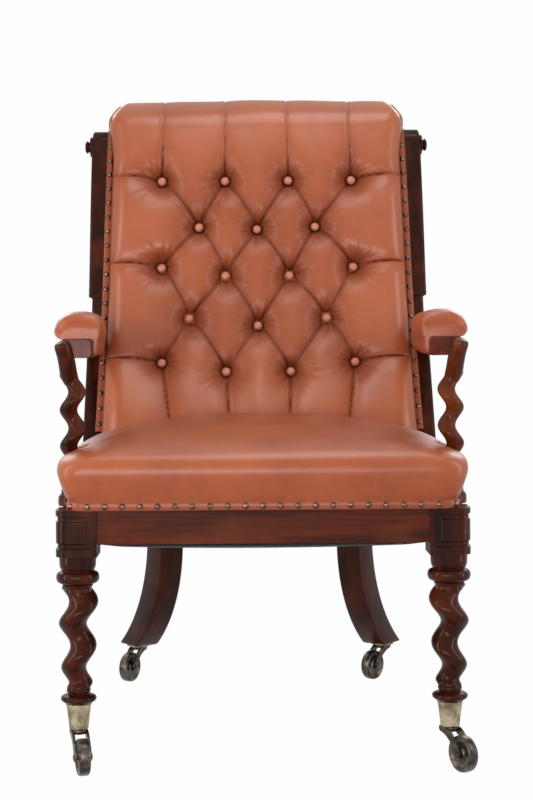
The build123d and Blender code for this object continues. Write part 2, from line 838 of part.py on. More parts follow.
def cushion_section(z, breaks, half_width, edge, base_y, back_depth, crown):
    # one section of the back cushion: scallops between the breaks, straight sides and back
    front = [(-half_width, z, edge)] + breaks + [(half_width, z, edge)]
    widest = 2 * button_outer_x[0] / (button_counts[0] - 1) - button_pocket_width
    points = []
    for (x0, z0, d0), (x1, z1, d1) in zip(front, front[1:]):
        swell = crown * min(1, max(0, x1 - x0 - button_pocket_width) / widest) ** crown_power_share
        for k in range(scallop_steps):
            share = k / scallop_steps
            height = z0 + (z1 - z0) * share
            depth = d0 + (d1 - d0) * share + swell * 4 * share * (1 - share)
            points.append(Vector(x0 + (x1 - x0) * share, base_y(height) - depth, height))
    points.append(Vector(half_width, base_y(z) - edge, z))
    points.append(Vector(half_width, back_depth, z))
    points.append(Vector(-half_width, back_depth, z))
    return points


def back_cushion():
    # sections from the top roll down through the button rows to the seat, along the curve of the back
    rows = button_places()
    first, last = rows[0], rows[-1]
    button = 2 * button_radius
    sections = []
    flare_top = cushion_flare + cushion_flare_rise
    for rise, wide, forward, behind, crown in cushion_roll_shares:
        z = flare_top + (cushion_top - flare_top) * rise
        depth = cushion_roll_depth * forward
        breaks = [(x * wide + s * seam_width / 2, z, depth) for x, _ in first for s in (-1, 1)]
        back_depth = back_top_y + (cushion_top_back_y - back_top_y) * behind
        half_width = cushion_top_half_width * wide
        sections.append(
            cushion_section(z, breaks, half_width, depth, lambda _: back_top_y, back_depth, crown_height * crown)
        )

    def level(breaks, crown):
        z = breaks[0][1]
        half_width = cushion_half_width + splay(z)
        base = back_y(z) - cushion_base_gap
        sections.append(cushion_section(z, breaks, half_width, edge_depth, back_y, base, crown_height * crown))

    for share in cushion_neck_level_shares:
        z = cushion_flare + (first[0][1] - cushion_flare) * share
        near = share / cushion_neck_level_shares[-1]
        depth = seam_depth + (button_depth - seam_depth) * near ** 2
        width = seam_width + (button - seam_width) * near ** 3
        breaks = [(x + s * width / 2, z, depth) for x, _ in first for s in (-1, 1)]
        level(breaks, cushion_neck_crown_share + (1 - cushion_neck_crown_share) * share)
    for row in range(len(rows) - 1):
        for blend in span_level_shares:
            level(seam_breaks(row, blend), 1)
    clear = cushion_foot_level_shares[1]
    for share in cushion_foot_level_shares:
        free = max(0, (share - clear) / (1 - clear))
        width = button + (seam_width - button) * min(1, 2 * free)
        depth = button_depth + (seam_depth - button_depth) * min(1, 2 * free)
        breaks = []
        for x, z in last:
            centre = x * (1 - cushion_foot_gather_share * share)
            height = z + (cushion_bottom - z) * share
            breaks += [(centre + s * width / 2, height, depth) for s in (-1, 1)]
        level(breaks, 1 - cushion_foot_flat_share * share)
    return skin(sections)


def surface_turn(z):
    # how far the front of the back leans from upright at height z, in degrees
    step = nail_radius
    return math.degrees(math.atan2(back_y(z + step) - back_y(z - step), 2 * step))


def back_buttons():
    lean = math.degrees(math.atan2(button_radius * (1 - button_top_share), button_thickness))
    button = faceted(button_radius, button_sides, button_thickness, taper=lean)
    solids = []
    for row in button_places():
        for x, z in row:
            place = Pos(x, back_y(z) - button_depth - seat_clearance, z) * Rot(90 - surface_turn(z), 0, 0)
            solids += (place * button).solids()
    return Compound(solids)


# Seat
def seat_section(z, half_width, front, back, corner):
    # one level of the seat cushion: rounded in front, stepped in behind to pass between the back posts
    narrow = min(half_width, post_inner - seat_clearance)
    step = min(back_bottom_y - seat_clearance, back - corner / 2)
    right = []
    for k in range(seat_corner_steps + 1):
        angle = math.pi / 2 * k / seat_corner_steps
        right.append((half_width - corner + corner * math.sin(angle), front + corner - corner * math.cos(angle)))
    right += [(half_width, step - corner / 2), (narrow - corner / 4, step), (narrow - corner / 4, back)]
    points = right + [(-x, y) for x, y in reversed(right)]
    return [Vector(x, y, z) for x, y in points]


def seat_cushion():
    sections = []
    for up, wide, forward, short in seat_shares:
        z = frame_top + up * seat_crown
        half_width = seat_base_half_width * wide
        corner = seat_corner_radius + (half_width * seat_corner_share - seat_corner_radius) * up ** 4
        back = back_y(z) - seat_back_margin - short * seat_crown
        sections.append(seat_section(z, half_width, -seat_front_y * forward, back, corner))
    shape = skin(sections)
    well = block(-spring_well_x, spring_well_x, spring_well_front, spring_well_back, frame_top, spring_well_top)
    shape = shape - well
    notch = support_base_radius + seat_notch_clearance
    limit = frame_top + seat_crown
    for side in sides.values():
        hole = Pos(side * support_x, support_y, frame_top) * Cylinder(
            notch, seat_crown, align=(Align.CENTER, Align.CENTER, Align.MIN)
        )
        outside = block(
            side * support_x, side * 2 * side_rail_outer, support_y - notch, support_y + notch, frame_top, limit
        )
        shape = shape - hole - outside
    return one(shape)


def seat_hessian():
    # the cloth that lies on the springs, in the top of the well under the stuffing
    margin = seat_clearance
    return block(
        -spring_well_x + margin, spring_well_x - margin, spring_well_front + margin, spring_well_back - margin,
        spring_well_top - seat_clearance - web_thickness, spring_well_top - seat_clearance,
    )


def seat_spring(x, y, z_low, z_high):
    # an hourglass coil: square wire sections along a helix that is waisted at half height
    wire = spring_wire / 2
    steps = spring_turns * spring_steps
    rings = []
    for i in range(steps + 1):
        share = i / steps
        angle = 2 * math.pi * i / spring_steps
        radius = spring_waist_radius + (spring_end_radius - spring_waist_radius) * (2 * share - 1) ** 2
        z = z_low + wire + (z_high - z_low - 2 * wire) * share
        ring = []
        for k in range(spring_sides):
            turn = 2 * math.pi * (k + 0.5) / spring_sides
            out = radius + wire * math.sqrt(2) * math.cos(turn)
            up = z + wire * math.sqrt(2) * math.sin(turn)
            ring.append(Vector(x + out * math.cos(angle), y + out * math.sin(angle), up))
        rings.append(ring)
    return skin(rings)


def seat_springs():
    low = web_bottom + 2 * web_thickness
    high = spring_well_top - seat_clearance - web_thickness
    solids = []
    for i in (-1, 0, 1):
        for j in (-1, 0, 1):
            solids.append(
                seat_spring(i * spring_spacing_x, spring_centre_y + j * spring_spacing_y, low, high)
            )
    return Compound(solids)


def seat_webbing():
    inside = seat_plan(rail_thickness, web_bottom, web_bottom + 2 * web_thickness)
    blocks = []
    for side in sides.values():
        blocks += [rear_leg_post(side, 0), leg_block(side)]
    solids = []
    reach = side_rail_outer
    back = side_rail_end + bow_depth
    for k in (-1, 0, 1):
        x = k * spring_spacing_x
        strip = block(x - web_width / 2, x + web_width / 2, -block_half, back, web_bottom, web_bottom + web_thickness)
        solids += ((strip & inside) - blocks).solids()
        y = spring_centre_y + k * spring_spacing_y
        z = web_bottom + web_thickness
        strip = block(-reach, reach, y - web_width / 2, y + web_width / 2, z, z + web_thickness)
        solids += ((strip & inside) - blocks).solids()
    return Compound(solids)


def dust_cover():
    # black cloth tacked under the rails, which hangs a little in the middle: one section after another,
    # first along the straight rails and then round the bow
    front = -block_half + front_rail_setback + cover_margin
    reach, bow = side_rail_outer - cover_margin, bow_depth - cover_margin
    rows = [(front + (side_rail_end - front) * share, reach, sag) for share, sag in cover_straight_shares]
    for share in cover_bow_shares:
        turn = math.pi / 2 * share
        rows.append((side_rail_end + bow * math.sin(turn), reach * math.cos(turn), math.cos(turn)))
    sections = []
    for y, half, sag in rows:
        upper, lower = [], []
        for k in range(cover_steps + 1):
            across = 2 * k / cover_steps - 1
            z = frame_bottom - cover_sag * sag * (1 - across * across)
            upper.append(Vector(half * across, y, z))
            lower.append(Vector(half * across, y, z - cover_thickness))
        sections.append(upper + lower[::-1])
    shape = skin(sections)
    low = frame_bottom - cover_thickness - 2 * cover_sag
    far = side_rail_outer
    for side in sides.values():
        edge = leg_x - block_half - seat_clearance
        corner = block(side * edge, side * far, front - cut_overrun, block_half + seat_clearance, low, frame_top)
        shape = shape - rear_leg_post(side, seat_clearance) - corner
    return one(shape)


def seat_banding():
    # leather strip round the lower edge of the seat, front and sides, open at the arm supports
    low, high = frame_top, frame_top + banding_width
    back = back_bottom_y - seat_corner_radius
    outside = seat_section(
        low, seat_base_half_width + banding_thickness, -seat_front_y - banding_thickness, back_bottom_y,
        seat_corner_radius + banding_thickness,
    )
    inside = seat_section(low, seat_base_half_width, -seat_front_y, back_bottom_y, seat_corner_radius)
    whole = extrude(Face(Wire.make_polygon(outside, close=True)), amount=high - low, dir=(0, 0, 1))
    hollow = extrude(Face(Wire.make_polygon(inside, close=True)), amount=high - low, dir=(0, 0, 1))
    ring = whole - hollow
    reach = side_rail_outer
    shape = ring & block(-reach, reach, -2 * seat_front_y, back - seat_corner_radius, low, high)
    notch = support_base_radius + seat_notch_clearance
    for side in sides.values():
        inner = side * (support_x - notch)
        shape = shape - block(inner, side * reach, support_y - notch, support_y + notch, low, high)
    return Compound(shape.solids())


def nail(place):
    # a domed nail head as a low faceted cap
    lean = math.degrees(math.atan2(nail_radius * (1 - nail_top_share), nail_height))
    return place * faceted(nail_radius, nail_sides, nail_height, taper=lean)


def seat_nails():
    # a row spaced along the banding: straight in front, then round its corners and down its sides
    solids = []
    corner = seat_corner_radius + banding_thickness
    straight = seat_base_half_width - seat_corner_radius
    for k in range(front_nail_count):
        run = front_nail_span * (k / (front_nail_count - 1) - 0.5)
        past = max(0, abs(run) - straight)
        turn = min(math.pi / 2, past / corner)
        x = min(abs(run), straight) + corner * math.sin(turn)
        y = seat_corner_radius - seat_front_y - corner * math.cos(turn) + past - corner * turn
        way = math.copysign(1, run)
        place = Pos(way * x, y, frame_top + banding_width / 2) * Rot(0, 0, way * math.degrees(turn))
        solids += nail(place * Rot(90, 0, 0)).solids()
    return Compound(solids)


def back_banding(side):
    # leather strip on the front of the post, which runs outwards as it goes down
    low = back_nail_low - banding_width
    slab = back_slab(side * post_inner, side * post_outer, -banding_thickness, 0, low, post_top)
    corners = [
        (side * (post_inner + splay(low)), low),
        (side * (post_inner + banding_width + splay(low)), low),
        (side * (post_inner + banding_width), post_top),
        (side * post_inner, post_top),
    ]
    strip = extrude(Plane.XZ * make_face(Polyline(*corners, close=True)), amount=-2 * back_top_y)
    return one(slab & strip)


def back_nails(side):
    nails = []
    for k in range(back_nail_count):
        z = back_nail_low + (back_nail_high - back_nail_low) * k / (back_nail_count - 1)
        x = side * (post_inner + banding_width / 2 + splay(z))
        y = back_y(z) - banding_thickness - seat_clearance
        nails += nail(Pos(x, y, z) * Rot(90 - surface_turn(z), 0, 0)).solids()
    return Compound(nails)


pieces = {
    "seat_front_rail": front_rail(),
    "seat_rear_rail": rear_rail(),
    "seat_cushion": seat_cushion(),
    "seat_hessian": seat_hessian(),
    "seat_springs": seat_springs(),
    "seat_webbing": seat_webbing(),
    "seat_dust_cover": dust_cover(),
    "seat_banding": seat_banding(),
    "seat_nails": seat_nails(),
    "back_top_rail": back_rail(post_top - top_rail_height, post_top),
    "back_bottom_rail": back_rail(bottom_rail_bottom, bottom_rail_bottom + bottom_rail_height),
    "back_lining": back_lining(),
    "back_cushion": back_cushion(),
    "back_buttons": back_buttons(),
    "outside_back": outside_back(),
}
front_headings = {"left": front_heading_left, "right": front_heading_right}
rear_headings = {"left": rear_heading_left, "right": rear_heading_right}
for name, side in sides.items():
    pieces["seat_side_rail_" + name] = side_rail(side)
    pieces["seat_corner_block_" + name] = corner_block(side)
    pieces["front_leg_" + name] = front_leg(side)
    pieces["rear_leg_" + name] = rear_leg(side)
    pieces["arm_support_" + name] = arm_support(side)
    pieces["arm_" + name] = arm(side)
    pieces["arm_pad_" + name] = arm_pad(side)
    pieces["back_post_" + name] = back_post(side)
    pieces["back_banding_" + name] = back_banding(side)
    pieces["back_nails_" + name] = back_nails(side)
    for end, place, headings, floor in (
        ("front", Pos(side * leg_x, 0, 0), front_headings, cup_floor),
        ("rear", Pos(*rear_foot_centre(side), 0), rear_headings, plate_thickness),
    ):
        heading = place * Rot(0, 0, headings[name])
        pieces[f"{end}_{name}_castor_horn"] = heading * castor_horn(floor)
        pieces[f"{end}_{name}_castor_wheel"] = heading * castor_wheel()
        pieces[f"{end}_{name}_castor_axle"] = heading * castor_axle()
pieces["post_bosses"] = post_bosses()
pieces["front_castor_cups"] = Compound(
    [(Pos(side * leg_x, 0, 0) * castor_cup()).solids()[0] for side in sides.values()]
)
pieces["rear_castor_plates"] = Compound(
    [(Pos(*rear_foot_centre(side), 0) * castor_plate()).solids()[0] for side in sides.values()]
)

# the model's own origin lies on the floor under the middle of its box
whole = Compound(list(pieces.values())).bounding_box()
centre = Pos(0, -(whole.min.Y + whole.max.Y) / 2, 0)
print("front", whole.min, "back", whole.max)
for name, shape in pieces.items():
    export_step(centre * shape, f"parts/{name}.step")
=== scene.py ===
import bpy
import bmesh
import math
import numpy as np
from mathutils import Matrix, Vector


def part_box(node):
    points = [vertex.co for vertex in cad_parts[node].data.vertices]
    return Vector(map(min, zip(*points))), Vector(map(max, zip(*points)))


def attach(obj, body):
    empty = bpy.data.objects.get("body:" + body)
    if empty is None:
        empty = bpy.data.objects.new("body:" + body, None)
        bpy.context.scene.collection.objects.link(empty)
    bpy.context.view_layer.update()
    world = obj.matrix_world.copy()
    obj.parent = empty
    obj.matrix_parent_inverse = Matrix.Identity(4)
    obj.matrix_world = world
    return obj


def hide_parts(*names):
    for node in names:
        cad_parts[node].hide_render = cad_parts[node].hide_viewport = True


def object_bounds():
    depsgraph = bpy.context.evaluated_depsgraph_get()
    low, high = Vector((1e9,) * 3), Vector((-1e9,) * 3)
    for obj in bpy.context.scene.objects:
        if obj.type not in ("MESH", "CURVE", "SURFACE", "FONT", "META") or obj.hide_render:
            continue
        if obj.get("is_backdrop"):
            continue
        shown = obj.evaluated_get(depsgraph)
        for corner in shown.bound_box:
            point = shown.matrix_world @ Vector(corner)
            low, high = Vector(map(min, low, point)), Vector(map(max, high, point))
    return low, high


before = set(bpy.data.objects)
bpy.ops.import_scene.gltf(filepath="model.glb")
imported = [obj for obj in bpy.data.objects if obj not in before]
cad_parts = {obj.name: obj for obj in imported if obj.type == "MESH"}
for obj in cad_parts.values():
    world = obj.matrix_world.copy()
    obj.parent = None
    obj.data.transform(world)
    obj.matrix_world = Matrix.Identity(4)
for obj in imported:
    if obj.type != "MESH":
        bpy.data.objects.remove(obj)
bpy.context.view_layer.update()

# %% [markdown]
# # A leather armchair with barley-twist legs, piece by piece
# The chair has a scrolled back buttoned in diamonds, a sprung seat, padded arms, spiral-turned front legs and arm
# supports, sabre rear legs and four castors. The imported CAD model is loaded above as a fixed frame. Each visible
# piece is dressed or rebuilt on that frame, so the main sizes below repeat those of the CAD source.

cup_low, cup_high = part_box("front_castor_cups")
leg_line = (cup_low.y + cup_high.y) / 2
sides = {"left": -1, "right": 1}


# %% [markdown]
# The source counts millimetres from the axis of the front legs. One small function turns its numbers into the
# metres of the frame, so that both files can be read side by side.

# %% From the source's millimetres to the frame's metres
def placed(points):
    """Points in the source's millimetres as points in the frame's metres."""
    points = np.asarray(points, float)
    return points * 0.001 + np.array([0.0, leg_line, 0.0])


def ease(low, high, value):
    """A smooth step from 0 at low to 1 at high."""
    share = np.clip((value - low) / (high - low), 0, 1)
    return share * share * (3 - 2 * share)


def flowing(rows, count):
    """A smooth run of points through the rows, each of any width (Catmull-Rom)."""
    rows = np.asarray(rows, float)
    padded = np.vstack([2 * rows[0] - rows[1], rows, 2 * rows[-1] - rows[-2]])
    at = np.linspace(0, len(rows) - 1, count)
    k = np.minimum(at.astype(int), len(rows) - 2)
    t = (at - k)[:, None]
    a, b, c, d = padded[k], padded[k + 1], padded[k + 2], padded[k + 3]
    return 0.5 * (2 * b + (c - a) * t + (2 * a - 5 * b + 4 * c - d) * t ** 2 + (3 * b - a - 3 * c + d) * t ** 3)


print("half way between 0 and 1 eases to", float(ease(0, 1, 0.5)))


# %% [markdown]
# Most pieces of this chair are skins over rings of points: a lathe turns a circle whose radius changes, a twist
# moves the circle round, and a cushion changes its outline as it rises. One function skins any stack of rings.

# %% A skin over rings
def shown(name, data):
    """An object of a mesh, a lamp or a camera, linked to the scene."""
    piece = bpy.data.objects.new(name, data)
    bpy.context.scene.collection.objects.link(piece)
    return piece


def mesh_of(name, points, faces):
    mesh = bpy.data.meshes.new(name)
    mesh.from_pydata(points, [], faces)
    return mesh


def tube_faces(count, around):
    """The faces of a closed tube of count rings, ends included."""
    faces = []
    for low in range(0, (count - 1) * around, around):
        for k in range(around):
            n = (k + 1) % around
            faces.append((low + k, low + n, low + around + n, low + around + k))
    last = (count - 1) * around
    return faces + [tuple(range(around))[::-1], tuple(range(last, last + around))]


def circle(steps):
    """Cosines and sines once round."""
    angles = np.linspace(0, 2 * math.pi, steps, endpoint=False)
    return np.cos(angles), np.sin(angles)


def run_lengths(line):
    """How far along a line each of its points lies."""
    return np.concatenate([[0], np.cumsum(np.hypot(*np.diff(line, axis=0).T))])


def skin(name, rings, sharp=40.0, measures=None):
    """A closed mesh over rings of as many points each, given in millimetres. measures are values per point."""
    rings = np.asarray(rings, float)
    mesh = mesh_of(name, placed(rings.reshape(-1, 3)).tolist(), tube_faces(*rings.shape[:2]))
    for label, values in (measures or {}).items():
        layer = mesh.attributes.new(label, "FLOAT", "POINT")
        layer.data.foreach_set("value", np.asarray(values, np.float32).reshape(-1))
    tidy(mesh, sharp)
    return shown(name, mesh)


def tidy(mesh, sharp=40.0):
    """Doubles merged, faces turned outwards, shaded smooth with hard edges only where the angle is sharp."""
    work = bmesh.new()
    work.from_mesh(mesh)
    bmesh.ops.remove_doubles(work, verts=work.verts, dist=0.00002)
    bmesh.ops.recalc_face_normals(work, faces=work.faces)
    work.to_mesh(mesh)
    work.free()
    mesh.shade_smooth()
    mesh.set_sharp_from_angle(angle=math.radians(sharp))


def joined(name, pieces):
    """Several pieces as one, under one name."""
    work = bmesh.new()
    for piece in pieces:
        work.from_mesh(piece.data)
        old = piece.data
        bpy.data.objects.remove(piece)
        bpy.data.meshes.remove(old)
    mesh = bpy.data.meshes.new(name)
    work.to_mesh(mesh)
    work.free()
    mesh.shade_smooth()
    mesh.set_sharp_from_angle(angle=math.radians(40))
    return shown(name, mesh)


def lathe(name, profile, centre, turn=None, steps=72):
    """A turned piece from (radius, height) pairs in millimetres. turn is a matrix that turns its axis."""
    x, y = circle(steps)
    rings = np.array([np.stack([radius * x, radius * y, np.full(steps, height)], 1) for radius, height in profile])
    if turn is not None:
        rings = rings @ np.array(turn.to_3x3()).T
    return skin(name, rings + np.array(centre, float))


def dressed(piece, finish, body="chair", stands_for=()):
    """Gives a piece its finish, its body and the CAD nodes that it stands for."""
    piece.data.materials.clear()
    piece.data.materials.append(finish)
    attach(piece, body)
    if stands_for:
        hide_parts(*stands_for)
    return piece


print("helpers ready")


# %% [markdown]
# Finishes are sums of patterns. Blender adds patterns with Math nodes, which are slow to read in a script, so a
# wire stands for a socket and Python's own signs add the nodes. The same class serves Geometry Nodes further on.

# %% Wires and benches
class Wire:
    """The value of a node's output. Arithmetic on it adds Math nodes."""

    def __init__(self, bench, socket):
        self.bench, self.socket = bench, socket

    def maths(self, operation, *values):
        return self.bench.add("ShaderNodeMath", dict(enumerate(values)), operation=operation)[0]

    def __add__(self, other): return self.maths("ADD", self, other)
    def __radd__(self, other): return self.maths("ADD", other, self)
    def __sub__(self, other): return self.maths("SUBTRACT", self, other)
    def __rsub__(self, other): return self.maths("SUBTRACT", other, self)
    def __mul__(self, other): return self.maths("MULTIPLY", self, other)
    def __rmul__(self, other): return self.maths("MULTIPLY", other, self)
    def __truediv__(self, other): return self.maths("DIVIDE", self, other)

    def sine(self): return self.maths("SINE", self)
    def cosine(self): return self.maths("COSINE", self)

    def between(self, low, high):
        """0 below low, 1 above high, smooth in between."""
        sockets = {"Value": self, "From Min": low, "From Max": high}
        return self.bench.add("ShaderNodeMapRange", sockets, interpolation_type="SMOOTHSTEP")["Result"]


class Bench:
    """A node tree under construction."""

    def __init__(self, tree):
        self.tree = tree

    def add(self, kind, sockets=None, **settings):
        """A node of a kind, its settings first, then its sockets by name or number; gives its outputs."""
        node = self.tree.nodes.new(kind)
        for key, value in settings.items():
            setattr(node, key, value)
        for name, value in (sockets or {}).items():
            if isinstance(value, Wire):
                self.tree.links.new(value.socket, node.inputs[name])
            else:
                node.inputs[name].default_value = value
        return Outputs(self, node)


class Outputs:
    """A node's outputs by name or number."""

    def __init__(self, bench, node):
        self.bench, self.node = bench, node

    def __getitem__(self, name):
        return Wire(self.bench, self.node.outputs[name])


print("wires ready")


# %% [markdown]
# A finish is such a bench with Blender's main shader on it. Its patterns are named for what they look like on the
# piece: clouds, cells, a stretched grain, a blend of two colours and a relief.

# %% A finish: the shader, and the patterns that every finish uses
class Finish(Bench):
    """A material with one shader, whose changing sockets are set by name."""

    def __init__(self, name, **constants):
        self.material = bpy.data.materials.new(name)
        self.material.use_nodes = True
        super().__init__(self.material.node_tree)
        self.shader = self.tree.nodes["Principled BSDF"]
        for label, value in constants.items():
            self.shader.inputs[label.replace("_", " ")].default_value = value
        self.place = self.add("ShaderNodeTexCoord")["Object"]

    def feed(self, label, wire):
        self.tree.links.new(wire.socket, self.shader.inputs[label])

    def stretched(self, x, y, z):
        """The place on the piece, with its axes stretched."""
        return self.add("ShaderNodeMapping", {"Vector": self.place, "Scale": (x, y, z)})["Vector"]

    def clouds(self, scale, detail=3.0, rough=0.55, place=None, swirl=0.0):
        sockets = {"Vector": place or self.place, "Scale": scale, "Detail": detail, "Roughness": rough,
                   "Distortion": swirl}
        return self.add("ShaderNodeTexNoise", sockets)["Fac"]

    def cells(self, scale, place=None):
        sockets = {"Vector": place or self.place, "Scale": scale}
        return self.add("ShaderNodeTexVoronoi", sockets, feature="DISTANCE_TO_EDGE")["Distance"]

    def blend(self, share, first, second):
        """One colour into another as share goes from 0 to 1."""
        node = self.tree.nodes.new("ShaderNodeMix")
        node.data_type = "RGBA"
        for place, value in ((0, share), (6, first), (7, second)):
            if isinstance(value, Wire):
                self.tree.links.new(value.socket, node.inputs[place])
            else:
                node.inputs[place].default_value = (*value, 1.0) if place else value
        return Wire(self, node.outputs[2])

    def layer(self, label):
        """A measure that was stored on the mesh."""
        return self.add("ShaderNodeAttribute", attribute_name=label)["Fac"]

    def relief(self, height, depth, strength=1.0):
        """Bumps as high as depth, in metres, from a height between 0 and 1."""
        bump = self.add("ShaderNodeBump", {"Height": height, "Distance": depth, "Strength": strength})
        self.feed("Normal", bump["Normal"])


print("finish ready")


# %% [markdown]
# The hide is a waxed orange tan. Seen close, it has a fine pebbled grain; seen from a step away, it is cloudy, with
# its crowns painted paler, partly for rubbed wear and partly as painted highlight, and its pits, seams and edges
# painted darker as painted shade. Measures that the cushions store on their points say where those places are: the
# painted shade, the crowns and the folds, and the rays that run out from each button, along which the hide is
# strained.

# %% Tan hide
def tan_hide(name, tone=1.0, painted_sheen=0.0):
    """tone multiplies the tans; the last argument is the share of a pale pink painted highlight laid over small
    covered pieces.
    """
    hide = Finish(name, Specular_IOR_Level=0.20, Coat_Roughness=0.29)

    def tan(*colour):
        return tuple(part * tone for part in colour)

    clouds = hide.clouds(9.0, 4.0, 0.6)
    mottle = hide.clouds(46.0, 4.0, 0.62)
    grain = hide.cells(820.0)
    pores = hide.clouds(1500.0, 2.0, 0.5)
    wrinkle = hide.cells(130.0, hide.stretched(1.0, 1.0, 1.7))
    hollow, wear_and_highlight, fold = hide.layer("hollow"), hide.layer("wear_and_highlight"), hide.layer("fold")
    body = hide.blend(clouds.between(0.32, 0.68), tan(0.270, 0.055, 0.017), tan(0.335, 0.080, 0.024))
    body = hide.blend(mottle.between(0.45, 0.75) * 0.35, body, tan(0.38, 0.100, 0.033))
    # paler crowns: partly rubbed wear, partly painted highlight
    body = hide.blend(wear_and_highlight * 0.35, body, tan(0.40, 0.112, 0.040))
    # painted highlight: a pale pink sheen laid evenly over the piece
    body = hide.blend(painted_sheen, body, (0.56, 0.235, 0.165))
    # painted shade: darker in the pits, along the folds and at the turned-in edges
    body = hide.blend(hollow * 0.78, body, (0.075, 0.012, 0.005))
    # painted shade: a dark line along each fold
    body = hide.blend(fold.between(0.74, 0.98) * 0.80, body, (0.050, 0.008, 0.003))
    rays = hide.add("ShaderNodeCombineXYZ", {n: hide.layer("ray_" + n.lower()) for n in "XYZ"})["Vector"]
    strain = hide.clouds(4.6, 2.0, 0.55, rays).between(0.36, 0.64) * hide.layer("ray_near")
    hide.feed("Base Color", hide.blend(strain * 0.20, body, tan(0.44, 0.13, 0.05)))
    hide.feed("Roughness", 0.31 + mottle * 0.14 + hollow * 0.16 - wear_and_highlight * 0.03)
    hide.feed("Coat Weight", 0.30 + wear_and_highlight * 0.26 - hollow * 0.36)
    small = grain.between(0.0, 0.30) * 0.4 + pores * 0.14 + wrinkle.between(0.0, 0.10) * 0.25
    hide.relief(small + mottle * 0.5 + strain * 2.5, 0.00042, 0.5)
    return hide.material


cushion_hide = tan_hide("tan_hide")
trim_hide = tan_hide("tan_hide_trim", 0.92)
# the buttons' copy is painted paler and pinker all over, as painted highlight
button_hide_painted_highlight = tan_hide("tan_hide_buttons", 1.1, 0.5)
print("hides", cushion_hide.name, trim_hide.name)


# %% [markdown]
# Old mahogany under french polish is nearly black in the shade and glows red where light goes in and out of it. Here
# that red glow is painted into the colour in patches, and each piece's copy of the wood is painted lighter or darker
# for the light that falls on it.
# The grain runs along each piece, so the pattern is stretched along that piece's own direction. The polish is a
# clear coat that has stayed smooth while the wood below is soft and brown.

# %% Polished mahogany
def mahogany(name, along, depth, wear_and_glow):
    """along is the grain's axis; depth multiplies the figure's colours, to paint a copy lighter or darker for the
    light on its pieces; the last colour is a red glow painted in patches, where the polish is also worn thin.
    """
    wood = Finish(name, Coat_Roughness=0.065, Coat_IOR=1.28, Specular_IOR_Level=0.05)
    run = wood.stretched(*(0.07 if axis == along else 1.0 for axis in "xyz"))
    figure = wood.clouds(34.0, 5.0, 0.62, run, 0.5)
    fine = wood.clouds(330.0, 3.0, 0.6, run)
    pores = wood.clouds(900.0, 1.0, 0.5, run)
    wear = wood.clouds(11.0, 3.0, 0.55)
    dark, light = (tuple(part * depth for part in colour) for colour in
                   ((0.014, 0.0026, 0.0010), (0.085, 0.0150, 0.0042)))
    body = wood.blend(figure.between(0.30, 0.70), dark, light)
    body = wood.blend(fine.between(0.50, 0.74) * 0.55, body, (0.009, 0.0020, 0.0012))
    # painted glow: red patches standing for light in the polish, put where the polish wears thin
    body = wood.blend(wear.between(0.50, 0.72) * 0.55, body, wear_and_glow)
    wood.feed("Base Color", body)
    wood.feed("Roughness", 0.30 + fine * 0.16 + wear.between(0.5, 0.8) * 0.10)
    wood.feed("Coat Weight", 0.34 - wear.between(0.6, 0.85) * 0.15)
    wood.relief(figure * 0.35 + pores.between(0.35, 0.5) * 0.4, 0.00012, 0.5)
    return wood.material


# four copies of one mahogany, painted darker as painted shade on the uprights and legs, and lighter as painted light
# on the supports, rails and arms
wood_up = mahogany("mahogany_upright", "z", 0.55, (0.11, 0.021, 0.005))
wood_painted_lit = mahogany("mahogany_rubbed", "z", 1.1, (0.27, 0.082, 0.018))
wood_across = mahogany("mahogany_across", "x", 1.35, (0.115, 0.028, 0.012))
wood_deep = mahogany("mahogany_front_to_back", "y", 1.5, (0.24, 0.075, 0.034))
print("mahogany cut four ways")


# %% [markdown]
# Nails and castors are brass that has gone its own way: the nails were bought nearly black and have rubbed bright
# on their domes, the cups have dulled to a greenish gold, and the wheels are grey brown where the floor keeps
# them scoured.

# %% Old brass, steel and inside cloths
def old_brass(name, dark, bright, rough, scale):
    metal = Finish(name, Metallic=0.92)
    stain = metal.clouds(scale, 4.0, 0.65)
    specks = metal.clouds(scale * 9, 2.0, 0.6)
    scratch = metal.clouds(scale * 5, 2.0, 0.5, metal.stretched(1.0, 1.0, 0.12))
    body = metal.blend(stain.between(0.34, 0.68), dark, bright)
    body = metal.blend(specks.between(0.58, 0.74) * 0.6, body, tuple(c * 0.35 for c in dark))
    metal.feed("Base Color", body)
    metal.feed("Roughness", rough + stain * 0.14 + specks.between(0.5, 0.8) * 0.22)
    metal.relief(specks * 0.6 + scratch * 0.4, 0.00012, 0.6)
    return metal.material


def plain_cloth(name, dark, light, threads, sheen):
    cloth = Finish(name, Roughness=0.92, Sheen_Weight=sheen, Specular_IOR_Level=0.2)
    x, y, z = (cloth.add("ShaderNodeSeparateXYZ", {"Vector": cloth.place})[n] for n in (0, 1, 2))
    warp = (x * threads).sine() * 0.5 + 0.5
    weft = ((y + z) * threads).sine() * 0.5 + 0.5
    patch = cloth.clouds(14.0, 3.0, 0.6)
    cloth.feed("Base Color", cloth.blend(patch * 0.6 + warp * weft * 0.4, dark, light))
    cloth.relief(warp * weft, 0.0003, 0.7)
    return cloth.material


